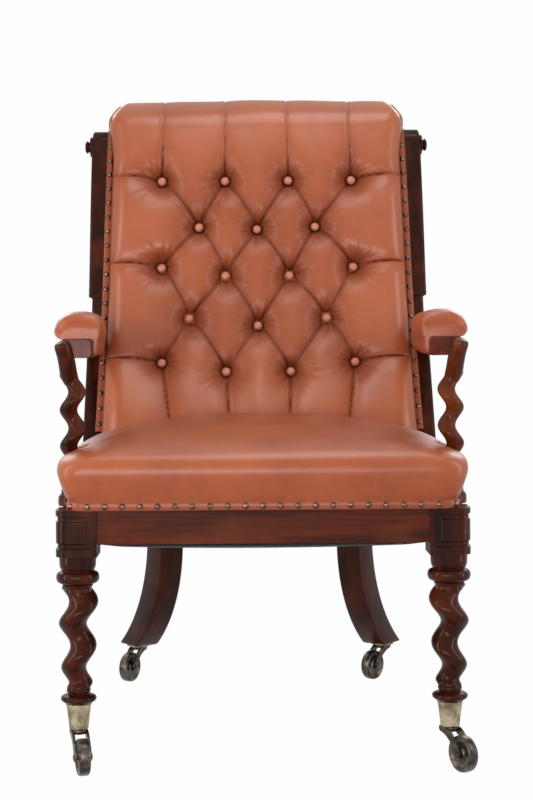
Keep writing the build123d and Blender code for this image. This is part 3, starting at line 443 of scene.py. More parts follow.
nail_bronze = old_brass("nail_bronze", (0.065, 0.028, 0.020), (0.23, 0.125, 0.098), 0.13, 190.0)
cup_brass = old_brass("castor_brass", (0.145, 0.110, 0.062), (0.50, 0.42, 0.28), 0.25, 38.0)
horn_brass = old_brass("horn_brass", (0.028, 0.021, 0.015), (0.12, 0.094, 0.064), 0.27, 70.0)
wheel_brass = old_brass("wheel_brass", (0.030, 0.024, 0.020), (0.14, 0.113, 0.098), 0.25, 60.0)
spring_steel = old_brass("spring_steel", (0.16, 0.15, 0.145), (0.36, 0.35, 0.34), 0.38, 70.0)
jute = plain_cloth("jute_webbing", (0.24, 0.165, 0.085), (0.44, 0.33, 0.20), 2600.0, 0.2)
hessian = plain_cloth("hessian", (0.27, 0.19, 0.10), (0.46, 0.36, 0.22), 3400.0, 0.2)
cambric = plain_cloth("black_cambric", (0.008, 0.008, 0.009), (0.020, 0.020, 0.021), 7000.0, 0.3)
print("brass, steel and cloths ready")


# %% [markdown]
# The rails that leather hides are beech, which holds tacks well and costs little. It has a pale straight grain with
# short dark flecks, and no polish.

# %% Plain beech
def plain_beech():
    wood = Finish("beech", Roughness=0.62, Specular_IOR_Level=0.3)
    figure = wood.clouds(60.0, 4.0, 0.6, wood.stretched(0.06, 1.0, 1.0))
    flecks = wood.clouds(420.0, 2.0, 0.5, wood.stretched(0.15, 1.0, 1.0))
    body = wood.blend(figure.between(0.3, 0.7), (0.33, 0.20, 0.10), (0.50, 0.35, 0.20))
    wood.feed("Base Color", wood.blend(flecks.between(0.6, 0.7) * 0.4, body, (0.22, 0.12, 0.055)))
    wood.relief(figure, 0.0001, 0.4)
    return wood.material


beech = plain_beech()
print("beech ready")


# %% [markdown]
# The back leans: a straight foot, a hollow bend and a scroll to the rear. The source draws it as a line and two
# arcs that run on smoothly. Here the same curve is worked out as a height-to-depth function, since the cushion,
# the posts, the banding and the nails all follow it.

# %% The curve of the back
foot_y, foot_z = 420.0, 374.0
bend_y, bend_z = 525.0, 560.0
waist_y, waist_z = 603.0, 760.0
top_y, post_top = 678.0, 1004.0


def arc_from(start, direction, end):
    """Centre and radius of the arc that leaves start in a direction and reaches end, in the (y, z) plane."""
    direction = direction / np.linalg.norm(direction)
    normal = np.array([-direction[1], direction[0]])
    chord = end - start
    radius = chord @ chord / (2 * (chord @ normal))
    return start + normal * radius, radius


lower, upper = np.array([bend_y, bend_z]), np.array([waist_y, waist_z])
bend_centre, bend_radius = arc_from(lower, np.array([bend_y - foot_y, bend_z - foot_z]), upper)
leaving = np.array([-(upper - bend_centre)[1], (upper - bend_centre)[0]]) * np.sign(bend_radius)
scroll_centre, scroll_radius = arc_from(upper, leaving, np.array([top_y, post_top]))


def back_y(z):
    """Depth of the front of the posts at height z."""
    z = np.asarray(z, float)
    straight = foot_y + (bend_y - foot_y) * (z - foot_z) / (bend_z - foot_z)

    def on_arc(centre, radius, near):
        reach = np.sqrt(np.maximum(radius ** 2 - (z - centre[1]) ** 2, 0))
        side = np.sign(near - centre[0])
        return centre[0] + side * reach

    bend, scroll = on_arc(bend_centre, bend_radius, bend_y), on_arc(scroll_centre, scroll_radius, waist_y)
    curve = np.where(z < bend_z, straight, np.where(z < waist_z, bend, scroll))
    return np.where(z > post_top, top_y, curve)


def splay(z):
    """How much wider the padded part of the back is at height z than at its top."""
    return 9.0 * (post_top - np.minimum(z, post_top)) / (post_top - 470.0)


def out_of_back(z):
    """The directions that point straight out of the back's curve at heights z."""
    slope = (back_y(z + 1) - back_y(z - 1)) / 2
    way = np.stack([np.zeros(len(z)), -np.ones(len(z)), slope], 1)
    return way / np.linalg.norm(way, axis=1, keepdims=True)


print("depth of the back at the seat, the waist and the top:", back_y([450, 760, 1003]).round(1))


# %% [markdown]
# Deep buttoning pulls the hide through the stuffing at each button. The hide between two buttons folds into a
# seam, and the stuffing swells between the seams, so the surface is a field of diamond pillows. It is made here
# as a height above the curve of the back: low along the seams, lowest at the buttons, and swelling with the
# distance from the nearest seam. The edges of the pillows then get the small radiating tucks that leather makes.

# %% Where the buttons and seams are
# for each row: how many buttons, how far out the last one stands, its height, and how much the row's middle hangs
button_plan = [(4, 172.4, 904.0, 0.0), (3, 104.8, 818.0, 4.0), (4, 171.9, 744.0, 17.0), (3, 122.3, 652.0, 13.0),
               (4, 170.0, 574.0, 18.0)]
button_rows = [[(reach * s, height - hang * (1 - s * s)) for s in np.linspace(-1, 1, count)]
               for count, reach, height, hang in button_plan]
buttons = [place for row in button_rows for place in row]
cushion_half, cushion_low = 261.5, 432.0
roll_start, roll_length = 1000.0, 150.0
seam_reach = 90.0


def bowed(start, end, bow):
    """Seven points from start to end along a fold that bows to its upper side by bow."""
    start, end = np.array(start, float), np.array(end, float)
    run = end - start
    across = np.array([-run[1], run[0]]) / np.hypot(*run)
    if across[1] < 0:
        across = -across
    shares = np.linspace(0, 1, 7)[:, None]
    return start + run * shares + across * bow * 4 * shares * (1 - shares)


folds = [bowed(spot, other, 6.5 if other[0] > spot[0] else 2.5)
         for upper_row, lower_row in zip(button_rows, button_rows[1:])
         for spot in upper_row for other in lower_row if abs(spot[0] - other[0]) < seam_reach]
roll_end = roll_start + roll_length
for x, z in button_rows[0]:
    folds.append(np.array([(x, z), (x * 0.99, z + 45), (x * 0.985, roll_start), (x * 0.98, roll_end)]))
for x, z in button_rows[-1]:
    folds.append(np.array([(x, z), (x * 0.955, z - 45), (x * 0.91, z - 90), (x * 0.89, cushion_low - 20)]))
for row in button_rows[::2]:
    for spot, way in ((row[0], -1), (row[-1], 1)):
        folds.append(bowed(spot, (way * (cushion_half + 14), spot[1] + 9), 6.0))
print(len(buttons), "buttons and", len(folds), "folds")


# %% [markdown]
# The height at a point comes from its nearest fold and from each button round it. The same sums also give the
# measures that the hide's finish reads, so colour and form can't drift apart.

# %% The height of the buttoned surface
def near_folds(x, z):
    """Distance to the nearest fold, the side that a point lies on, and how deep the folds' valleys are."""
    best, side, level = np.full(x.shape, 1e9), np.ones(x.shape), np.ones(x.shape)
    for fold in folds:
        own = np.full(x.shape, 1e9)
        for start, end in zip(fold, fold[1:]):
            run = end - start
            dx, dz = x - start[0], z - start[1]
            share = np.clip((dx * run[0] + dz * run[1]) / (run @ run), 0, 1)
            away = np.hypot(dx - run[0] * share, dz - run[1] * share)
            own = np.minimum(own, away)
            closer = away < best
            best = np.where(closer, away, best)
            side = np.where(closer, np.sign(dx * run[1] - dz * run[0]), side)
        level *= 1 - np.exp(-(own / 17) ** 2)
    return best, side, 1 - level


pillow_height, pit_depth, button_room = 41.0, 31.0, 7.5


def buttoned(x, z):
    """Height of the hide above the curve of the back, and its measures, for a whole grid of points."""
    away, side, valleys = near_folds(x, z)
    draw = np.random.default_rng(12)
    level, tucks, near = np.ones(x.shape), np.zeros(x.shape), np.full(x.shape, 1e9)
    ray_x, ray_y, ray_z = (np.zeros(x.shape) for _ in range(3))
    for k, (button_x, button_z) in enumerate(buttons):
        dx, dz = x - button_x, z - button_z
        gap = np.hypot(dx, dz)
        closest = gap < near
        ray_x, ray_y = (np.where(closest, way / np.maximum(gap, 1), old) for way, old in ((dx, ray_x), (dz, ray_y)))
        ray_z = np.where(closest, 0.006 * gap + 3.7 * k, ray_z)
        near = np.minimum(near, gap)
        level *= 1 - np.exp(-np.maximum(gap - button_room, 0) / 18.5)
        # the hide's small tucks run out from the button, more of them on one side
        angle = np.arctan2(dz, dx)
        wave = sum(draw.uniform(0.5, 1.0) * np.cos(n * angle + draw.uniform(0, 6.28)) for n in (7, 11, 16, 23))
        bias = 0.55 + 0.45 * np.cos(angle - draw.uniform(0.9, 2.2))
        tucks += wave * bias * (0.95 * np.exp(-((gap - 18) / 10) ** 2) + 0.42 * np.exp(-((gap - 36) / 15) ** 2))
    pit = 1 - level
    roll = ease(roll_start - 80, roll_start + 20, z)
    valley = (4.6 * valleys + 3.4 * np.exp(-away / 5.5)) * (1 - 0.88 * roll)
    groove = 2.2 * np.exp(-(away / 1.7) ** 2) * (1 - 0.4 * roll)
    lip = 1.5 * np.exp(-((away * side + 4.2) / 2.3) ** 2) * (1 - 0.5 * roll)
    height = (pillow_height - pit_depth * pit - valley - groove + lip * (1 - 0.5 * pit)
              + 1.15 * tucks * ease(6, 12, near))
    # soft upright folds below the last row, and slow unevenness of the stuffing
    below = ease(596, 540, z)
    height += below * 1.7 * np.sin(x / 10.5 + 1.2 * np.sin(z / 37)) * np.exp(-((x - 5) / 75) ** 2)
    height += below * 0.9 * np.sin(x / 17 + z / 60 + 1.0)
    height += 0.9 * np.sin(x / 41 + 1.3) * np.sin(z / 33 + 0.4) + 0.35 * np.sin(x / 19 + z / 27)
    # measures for the finish: a painted shade line on each fold, painted shade in the pits and beside the folds,
    # pillow tops painted paler for wear and as painted highlight, and the rays
    return height, {
        "fold": np.clip(1 - away / 5.4, 0, 1) * (1 - 0.55 * roll),
        "hollow": np.clip(1.1 * pit ** 1.25 + 0.40 * np.exp(-away / 6.5), 0, 1) * (1 - 0.5 * roll),
        "wear_and_highlight": np.clip((height - 31) / 9, 0, 1),
        "ray_x": ray_x, "ray_y": ray_y, "ray_z": ray_z, "ray_near": ease(7, 13, near) * ease(52, 16, near),
    }


trial, _ = buttoned(np.array([172.4, 115.0, 141.0]), np.array([904.0, 940.0, 861.0]))
print("height at a button, on a pillow and on a fold:", trial.round(1))


# %% [markdown]
# Above the last buttons the hide goes over the top rail as a soft roll and down behind it. The roll is a line seen
# from the side: the cushion's rows follow it one after another, and sink a little where the sides turn in.

# %% The roll over the top
roll_points = 200
stuffing, side_thickness = 38.5, 13.0
roll_keys = [(float(back_y(z)) - stuffing, z) for z in (970.0, 985.0, 1000.0)]
start_y = roll_keys[2][0]
lean = start_y - roll_keys[1][0]
roll_keys += [(start_y + lean, 1015), (start_y + 2.3 * lean + 1, 1029), (start_y + 3.8 * lean + 6, 1042),
              (start_y + 5 * lean + 14, 1052), (start_y + 5 * lean + 25, 1057.5), (start_y + 5 * lean + 36, 1058.5),
              (703, 1052), (709, 1040), (711.5, 1025), (711.5, 1010)]
# the first two keys only give the roll its direction, so the points beside them are left out
roll_line = flowing(roll_keys, 1101)[200:]
roll_marks = run_lengths(roll_line)
roll_evenly = np.linspace(0, 1, roll_points) * roll_marks[-1]
roll_line = np.stack([np.interp(roll_evenly, roll_marks, roll_line[:, k]) for k in (0, 1)], 1)
roll_ahead = np.gradient(roll_line, axis=0)
roll_ahead /= np.linalg.norm(roll_ahead, axis=1, keepdims=True)
roll_inward = np.stack([roll_ahead[:, 1], -roll_ahead[:, 0]], 1)


def along_roll(line, share):
    """The value of a line of pairs at a share of the roll's length."""
    return np.array([np.interp(share * (roll_points - 1), np.arange(roll_points), line[:, c]) for c in (0, 1)])


print("the roll is", round(float(roll_marks[-1])), "mm long")


# %% [markdown]
# The cushion is a grid of points: up the back, over the roll and down behind it, then down the back of the frame. Its
# sides are closed afterwards, so the whole piece is one closed skin.

# %% The buttoned cushion
across, up_rows, roll_rows = 288, 278, 52


def make_back_cushion():
    runs = np.concatenate([np.linspace(cushion_low, roll_start, up_rows, endpoint=False),
                           roll_start + np.linspace(0, roll_length, roll_rows)])
    spread = np.linspace(-1, 1, across)
    past = np.maximum(runs - roll_start, 0) / roll_length
    halves = cushion_half + splay(np.minimum(runs, roll_start))
    halves = halves + (271.5 - halves) * ease(roll_start - 60, roll_start + 25, runs)
    halves = halves - 15.0 * np.clip((past - 0.14) / 0.40, 0, 1) ** 2.2
    x = halves[:, None] * spread[None, :]
    run = runs[:, None] * np.ones((1, across))
    height, measures = buttoned(x, run)
    height = 20 + (height - 20) * (0.75 + 0.25 * ease(cushion_low, cushion_low + 70, run))
    # the hide turns in at the sides to meet the banding
    edge = halves[:, None] - np.abs(x)
    curl = np.clip(edge / (36.0 - 14.0 * ease(0.05, 0.4, past))[:, None], 0, 1)
    height = side_thickness + (height - side_thickness) * np.sqrt(1 - (1 - curl) ** 2)
    # painted shade where the hide turns in at the sides
    measures["hollow"] = np.maximum(measures["hollow"], 0.4 * np.exp(-edge / 2.5))
    y = back_y(run) - height
    z = run.copy()
    for i in np.nonzero(past > 0)[0]:
        point, inward = along_roll(roll_line, past[i]), along_roll(roll_inward, past[i])
        turned = ease(0, 0.25, past[i])
        inward = inward * turned + np.array([1.0, 0.0]) * (1 - turned)
        deepest = 26 - 17 * ease(0.06, 0.3, past[i]) - 6 * ease(0.35, 0.6, past[i])
        sunk = np.minimum(stuffing - height[i], deepest)
        y[i] = point[0] + inward[0] * sunk
        z[i] = point[1] + inward[1] * sunk - 5.0 * np.abs(spread) ** 3 * ease(0, 0.4, past[i])
    # the back of the cushion lies on the posts and the top rail
    rear = [np.stack([spread * (cushion_half + float(splay(level))), np.full(across, float(back_y(level)) - 0.8),
                      np.full(across, level)], 1) for level in (post_top + 4, 800.0, 600.0, cushion_low)]
    rows = np.concatenate([np.stack([x, y, z], 2), np.array(rear)])
    # each side is closed along a line up the middle of its thickness, which ends in the middle of the roll
    low_z = np.minimum(rows[:, 0, 2], roll_start)
    middle = np.stack([0.5 * (rows[:, 0, 1] + back_y(low_z)), low_z], 1)
    rolled = np.concatenate([ease(0, 0.3, past), np.zeros(len(rear))])
    middle = middle + (np.array([672.0, 1018.0]) - middle) * rolled[:, None]
    middle[len(past):, 0] = back_y(rows[len(past):, 0, 2]) - side_thickness / 2
    for way, edge_column in ((-1, 0), (1, -1)):
        edge_line = rows[:, edge_column]
        closed = np.column_stack([edge_line[:, 0] + way * 0.6, middle])
        halfway = edge_line + (closed - edge_line) * 0.5 + np.array([way * 0.4, 0, 0])
        added = np.stack([closed, halfway] if way < 0 else [halfway, closed], 1)
        rows = np.concatenate([added, rows] if way < 0 else [rows, added], 1)
    blank = np.zeros((len(rear), across))
    measures = {label: np.pad(np.concatenate([values, blank]), ((0, 0), (2, 2)), "edge").T
                for label, values in measures.items()}
    return skin("back_cushion_leather", rows.transpose(1, 0, 2), sharp=75.0, measures=measures)


back_cushion = make_back_cushion()
dressed(back_cushion, cushion_hide, stands_for=("back_cushion",))
print("back cushion", len(back_cushion.data.polygons), "faces, top at",
      round(max(v.co.z for v in back_cushion.data.vertices), 4))


# %% [markdown]
# The seat is a sprung cushion with a tight cover: nearly flat on its front edge, where the hide is tacked down, a
# swelling nose above it, a soft crest and then a long low dome. Its outline is a rounded square at the frame that
# turns rounder as it climbs. The hide is gathered at the two front corners into short tucks.

# %% The seat's levels
# for each level: its share of the height, of the width and of the nose, and how far its back draws in
seat_levels = [
    (0.0, 1.0, 1.0, 0.0), (0.105, 1.0, 1.0, 0.0), (0.17, 1.014, 1.08, 0.0), (0.30, 1.034, 1.20, 0.0),
    (0.44, 1.052, 1.28, 0.0), (0.54, 1.053, 1.20, 0.0), (0.61, 1.038, 1.02, 0.0), (0.67, 1.005, 0.72, 0.0),
    (0.725, 0.955, 0.30, 0.01), (0.78, 0.885, -0.28, 0.03), (0.84, 0.785, -1.10, 0.10), (0.90, 0.655, -2.10, 0.22),
    (0.95, 0.51, -3.10, 0.40), (0.98, 0.38, -4.0, 0.60), (1.0, 0.20, -5.10, 0.85),
]
frame_top, seat_crown, seat_half, seat_nose, seat_corner = 374.0, 120.0, 279.0, 30.0, 26.0
support_x, support_y, support_room = 277.0, 52.0, 25.0


def front_corner(half, front, corner):
    """The seat's round front corner, from the front to the side."""
    return [(half - corner + corner * math.sin(angle), front + corner - corner * math.cos(angle))
            for angle in np.linspace(0, math.pi / 2, 14)[1:]]


def seat_ring(up, wide, forward, short):
    """One level of the seat: a half outline from the middle front round to the middle back, then mirrored."""
    z = frame_top + up * seat_crown
    half = seat_half * wide
    corner = seat_corner + (half * 0.62 - seat_corner) * up ** 4
    front = -seat_nose * forward
    back = float(back_y(z)) - 46.0 - short * seat_crown
    inset = min(half, 261.0) - corner / 4
    step = min(foot_y - 0.5, back - corner / 2)
    line = [(0.0, front), (half - corner, front)] + front_corner(half, front, corner)
    line += [(half, step - corner / 2), (inset, step), (inset, back - 8), (inset - 8, back), (0.0, back)]
    line = np.array(line)
    lengths = run_lengths(line)
    # more points where the outline turns in front
    marks = lengths[-1] * np.linspace(0, 1, 96) ** 1.05
    x, y = np.interp(marks, lengths, line[:, 0]), np.interp(marks, lengths, line[:, 1])
    # room for the foot of the arm support
    near = np.abs(y - support_y)
    limit = support_x - np.sqrt(np.maximum(support_room ** 2 - near ** 2, 0))
    limit = np.where(near < support_room, limit, support_x + (near - support_room) * 1.4)
    share = np.maximum(ease(support_room + 22, support_room - 2, near), near < support_room)
    x = np.where(near < support_room + 22, x + (np.minimum(x, limit) - x) * share, x)
    # tucks at the corners, and slow unevenness of the stuffing
    turn = np.arctan2(y - (front + corner), x - (half - corner))
    at_corner = (x > half - corner - 2) & (y < front + corner + 2)
    low = ease(64, 14, z - frame_top) * ease(6, 14, z - frame_top)
    crease = np.zeros(len(x))
    for angle, depth in ((-1.05, 4.2), (-0.62, 3.4)):
        tuck = low * np.exp(-((turn - angle) / 0.075) ** 2) * at_corner
        crease = np.maximum(crease, tuck)
        x, y = x - depth * tuck * np.cos(turn), y - depth * tuck * np.sin(turn)
    rise = 0.8 * up * np.sin(x / 61 + 0.7) * np.sin(y / 53 + 0.4)
    right = np.stack([x, y, z + rise, crease], 1)
    return np.concatenate([right, right[1:-1][::-1] * np.array([-1, 1, 1, 1])])


seat_rows = flowing(seat_levels, 110)
seat_rows = np.concatenate([seat_rows, [[1.004, 0.10, -5.9, 0.98], [1.005, 0.04, -6.4, 1.06]]])
seat_rows[:, 0] = np.maximum.accumulate(seat_rows[:, 0])
seat_rings = np.array([seat_ring(*row) for row in seat_rows])
# the fold measure paints a dark line of painted shade into the corner tucks
seat = skin("seat_cushion_leather", seat_rings[:, :, :3], sharp=70.0, measures={"fold": seat_rings[:, :, 3]})
print("seat", len(seat.data.polygons), "faces, top at", round(max(v.co.z for v in seat.data.vertices), 4))


# %% [markdown]
# The seat's hide is painted darker towards its lower edge and towards the back, as painted shade, and paler on its
# crest and top, partly for rubbed wear and partly as painted highlight. Those places are stored on the mesh as two
# measures, each from a rule over its points.

# %% The seat's measures
def measured(piece, hollow, wear_and_highlight):
    """Stores the painted shade and the paler crowns: each a number, or a function of the points in the source's
    millimetres.
    """
    mesh = piece.data
    points = np.empty(len(mesh.vertices) * 3)
    mesh.vertices.foreach_get("co", points)
    points = (points.reshape(-1, 3) - np.array([0, leg_line, 0])) * 1000
    for label, rule in (("hollow", hollow), ("wear_and_highlight", wear_and_highlight)):
        layer = mesh.attributes.get(label) or mesh.attributes.new(label, "FLOAT", "POINT")
        values = rule(points) if callable(rule) else np.full(len(points), rule)
        layer.data.foreach_set("value", np.asarray(values, np.float32))


# painted shade towards the lower edge and the back; crest and top painted paler, for wear and as painted highlight
measured(seat,
         lambda p: 0.7 * ease(390, 380, p[:, 2]) + 0.25 * ease(300, 380, p[:, 1]),
         lambda p: 0.75 * ease(425, 446, p[:, 2]) * ease(470, 450, p[:, 2]) + 0.3 * ease(470, 490, p[:, 2]))
dressed(seat, cushion_hide, stands_for=("seat_cushion",))


# %% [markdown]
# Posts, arms and twists are wood. The posts follow the curve of the back with a softly rounded section. Each is a
# stack of rounded rectangles, one for each height, and the top one is rolled over.

# %% Rounded sections and the back posts
def rounded_section(half_x, half_y, radius, corner_steps=5):
    """A rounded rectangle about the origin, as (x, y) points."""
    points = []
    for k, (sx, sy) in enumerate(((1, 1), (-1, 1), (-1, -1), (1, -1))):
        for angle in np.linspace(0, math.pi / 2, corner_steps) + k * math.pi / 2:
            points.append((sx * (half_x - radius) + radius * math.cos(angle),
                           sy * (half_y - radius) + radius * math.sin(angle)))
    return np.array(points)


post_inner, post_outer, post_depth, post_round = 262.0, 304.0, 42.0, 18.0


def make_post(name, side):
    rings = []
    shoulder = post_top - post_round
    levels = np.concatenate([np.linspace(foot_z, 630, 30), np.linspace(634, 704, 60), np.linspace(708, shoulder, 50),
                             shoulder + post_round * np.sin(np.linspace(0, math.pi / 2, 14)[1:])])
    for z in levels:
        past = max(0.0, z - shoulder) / post_round
        # the moulded face of the upper part ends in a stop, below which the outer edge steps in
        stop = float(ease(694, 690, z) * ease(615, 640, z))
        bead = float(ease(689, 692, z) * ease(699, 696, z))
        half_x = (post_outer - 6.0 * stop - post_inner) / 2
        half_y = post_depth / 2 - 14 * (1 - math.sqrt(max(0.0, 1 - past ** 2)))
        section = rounded_section(half_x - 1.5 * past, half_y, 5.5, 7)
        middle = float(back_y(min(z, 1003.9))) + post_depth / 2 + 2.4 * stop - 0.8 * bead
        rings.append(np.stack([side * (section[:, 0] + post_inner + half_x), section[:, 1] + middle,
                               np.full(len(section), z)], 1))
    return skin(name, rings)


for name, side in sides.items():
    dressed(make_post("back_post_wood_" + name, side), wood_up, stands_for=("back_post_" + name,))
print("posts ready")


# %% [markdown]
# A single-bine twist is a round strand that winds round the axis of the leg. On the lathe it is cut by hand after
# turning; here each slice through the leg is a circle whose centre goes round as the slice climbs. That is a
# rule, so Geometry Nodes bend a plain cylinder by it, with the pitch and radii as named inputs.

# %% A Geometry Nodes tree from named inputs
def new_tree(name, inputs):
    """A geometry tree with a mesh input, named inputs and a mesh output; gives the bench and the input wires."""
    tree = bpy.data.node_groups.new(name, "GeometryNodeTree")
    tree.interface.new_socket("Geometry", in_out="INPUT", socket_type="NodeSocketGeometry")
    for label, kind in inputs:
        tree.interface.new_socket(label, in_out="INPUT", socket_type="NodeSocket" + kind)
    tree.interface.new_socket("Geometry", in_out="OUTPUT", socket_type="NodeSocketGeometry")
    bench = Bench(tree)
    return bench, bench.add("NodeGroupInput")


def close_tree(bench, geometry, material):
    """Realize Instances, Set Material and the tree's output."""
    real = bench.add("GeometryNodeRealizeInstances", {"Geometry": geometry})["Geometry"]
    done = bench.add("GeometryNodeSetMaterial", {"Geometry": real, "Material": material})["Geometry"]
    bench.add("NodeGroupOutput", {"Geometry": done})


def grown(name, start, tree, values):
    """Runs a tree on a mesh with values for its named inputs, and gives the result as a plain piece."""
    holder = shown(name + "_start", start)
    modifier = holder.modifiers.new("grow", "NODES")
    modifier.node_group = tree
    for item in tree.interface.items_tree:
        if item.in_out == "INPUT" and item.name in values:
            modifier[item.identifier] = values[item.name]
    holder.update_tag()
    bpy.context.view_layer.update()
    graph = bpy.context.evaluated_depsgraph_get()
    result = holder.evaluated_get(graph)
    mesh = bpy.data.meshes.new_from_object(result, preserve_all_data_layers=True, depsgraph=graph)
    bpy.data.objects.remove(holder)
    mesh.name = name
    return shown(name, mesh)


print("tree helpers ready")


# %% [markdown]
# The twist's tree reads each point of a plain tube, of radius 1 and height 1, and sends it to its place on the
# strand. The strand's offset fades out at the ends, where the turned rings of the leg take over.

# %% The barley twist
def twist_tree():
    sizes = ("Low Radius", "High Radius", "Low Height", "High Height", "Offset Share", "Pitch", "Outer Height",
             "Side", "Centre X", "Centre Y", "Top Fade")
    bench, given = new_tree("barley_twist", [(size, "Float") for size in sizes] + [("Material", "Material")])
    place = bench.add("GeometryNodeInputPosition")["Position"]
    parts = bench.add("ShaderNodeSeparateXYZ", {"Vector": place})
    x, y, share = parts["X"], parts["Y"], parts["Z"]
    low, high = given["Low Radius"], given["High Radius"]
    radius = low + (high - low) * share
    z = given["Low Height"] + (given["High Height"] - given["Low Height"]) * share
    turn = (z - given["Outer Height"]) / given["Pitch"] * (2 * math.pi)
    fade = share.between(0.0, 0.07) * (1.0 - share.between(0.94, 1.0) * given["Top Fade"])
    offset = radius * given["Offset Share"] * fade
    new_x = given["Centre X"] + x * radius + given["Side"] * offset * turn.cosine()
    new_y = given["Centre Y"] + y * radius - offset * turn.sine()
    target = bench.add("ShaderNodeCombineXYZ", {"X": new_x, "Y": new_y, "Z": z})["Vector"]
    moved = bench.add("GeometryNodeSetPosition", {"Geometry": given["Geometry"], "Position": target})["Geometry"]
    close_tree(bench, moved, given["Material"])
    return bench.tree


def unit_tube(around, up):
    """A closed tube of radius 1 and height 1, as a plain mesh."""
    points = [(x, y, z) for z in np.linspace(0, 1, up) for x, y in zip(*circle(around))]
    return mesh_of("unit_tube", points, tube_faces(up, around))


bine = twist_tree()


def twist(name, side, x, y, low, high, radius_low, radius_high, share, pitch, outer, top_fade, wood):
    values = {"Low Radius": radius_low / 1000, "High Radius": radius_high / 1000, "Low Height": low / 1000,
              "High Height": high / 1000, "Offset Share": share, "Pitch": pitch / 1000,
              "Outer Height": outer / 1000, "Side": float(side), "Centre X": x / 1000,
              "Centre Y": y / 1000 + leg_line, "Top Fade": float(top_fade), "Material": wood}
    piece = grown(name, unit_tube(64, 180), bine, values)
    piece.data.shade_smooth()
    piece.data.set_sharp_from_angle(angle=math.radians(50))
    return piece


print("twist tree has", len(bine.nodes), "nodes")


# %% [markdown]
# A front leg is one stick of wood: a square block where the rails join, a turned vase below it, the twist, and a
# ringed foot that stands in the castor's cup. The block carries a sunk frame with a raised panel that runs round
# its rounded corner, so its skin is a ring whose points step in and out.

# %% Front legs
leg_x, block_half = 266.0, 30.0


def block_ring(side, z):
    """One level of the block's outline, with the sunk frame on its two outer faces."""
    corner, low, high, border = 20.0, 320.0, 365.0, 9.0
    half = block_half
    path = [(-half, -half), (half - corner, -half)]
    for angle in np.linspace(-math.pi / 2, 0, 12)[1:]:
        path.append((half - corner + corner * math.cos(angle), -half + corner + corner * math.sin(angle)))
    path += [(half, half), (-half, half)]
    path = np.array(path + [path[0]])
    lengths = run_lengths(path)
    show = lengths[len(path) - 3]
    marks = np.concatenate([np.linspace(0, show, 150, endpoint=False), np.linspace(show, lengths[-1], 20, False)])
    x, y = np.interp(marks, lengths, path[:, 0]), np.interp(marks, lengths, path[:, 1])
    ahead = np.stack([np.interp(marks + 0.5, lengths, path[:, 0]), np.interp(marks + 0.5, lengths, path[:, 1])], 1)
    way = ahead - np.stack([x, y], 1)
    way /= np.maximum(np.linalg.norm(way, axis=1, keepdims=True), 1e-6)

    def inside(inset, soft):
        start, end = border + inset, show - border - inset
        up = float(ease(low + inset - soft, low + inset, z) * ease(high - inset + soft, high - inset, z))
        return ease(start - soft, start, marks) * ease(end + soft, end, marks) * up

    sunk = 2.5 * inside(0, 1.0) - 2.2 * inside(8.0, 2.5)
    x, y = x - way[:, 1] * sunk, y + way[:, 0] * sunk
    return np.stack([side * (x + leg_x), y, np.full(len(x), z)], 1)


leg_head = flowing([(26.5, 308), (26.0, 294), (24.2, 288.5), (23.2, 287), (24.5, 285.6), (28.5, 283.5), (30.6, 279.5),
                    (30.6, 274.5), (28.6, 270.5), (24.5, 268.2), (21.5, 266.8), (19.6, 264.2), (19.0, 261),
                    (19.4, 256)], 90)
leg_foot = flowing([(13.5, 121), (15.6, 118.5), (17.2, 115.5), (16.6, 112.6), (15.0, 111.2), (16.2, 109.8),
                    (21.0, 108.4), (24.6, 106.2), (25.5, 103.6), (24.8, 101.2), (22.6, 99.4), (20.4, 97.6),
                    (18.0, 96.2)], 80)
for name, side in sides.items():
    spacing = np.concatenate([np.linspace(308, 318, 6), np.linspace(318.5, 368, 90), np.linspace(368.5, 374, 4)])
    block = skin("leg_block_wood_" + name, [block_ring(side, z) for z in spacing], sharp=30.0)
    head = lathe("head", leg_head, (side * leg_x, 0, 0))
    bine_piece = twist("strand", side, side * leg_x, 0.0, 118, 266, 16.9, 21.8, 0.38, 63.0, 209.5, 1, wood_up)
    foot = lathe("foot", leg_foot, (side * leg_x, 0, 0))
    spigot = lathe("spigot", [(13.0, 72), (15.6, 90), (16.4, 97)], (side * leg_x, 0, 0))
    turned = joined("front_leg_turned_" + name, [head, bine_piece, foot, spigot])
    dressed(block, wood_up, stands_for=("front_leg_" + name,))
    dressed(turned, wood_up)
print("front legs ready")


# %% [markdown]
# The arm supports wind the same way as the legs below them, slimmer and tighter. At the top, the strand runs on
# into a plain scroll that leans out and forward past the end of the arm, where its sawn tip shows.

# %% Arm supports and their scrolled tips
def tube_along(name, centres, radii):
    """A round bar along a smooth line of centres, in millimetres."""
    centres, radii = np.asarray(centres, float), np.asarray(radii, float)
    rings = []
    side_way = np.array([1.0, 0.0, 0.0])
    for k, centre in enumerate(centres):
        ahead = centres[min(k + 1, len(centres) - 1)] - centres[max(k - 1, 0)]
        ahead /= np.linalg.norm(ahead)
        first = side_way - ahead * (side_way @ ahead)
        first /= np.linalg.norm(first)
        second = np.cross(ahead, first)
        across, along = circle(36)
        rings.append(centre + radii[k] * (np.outer(across, first) + np.outer(along, second)))
    return skin(name, rings)


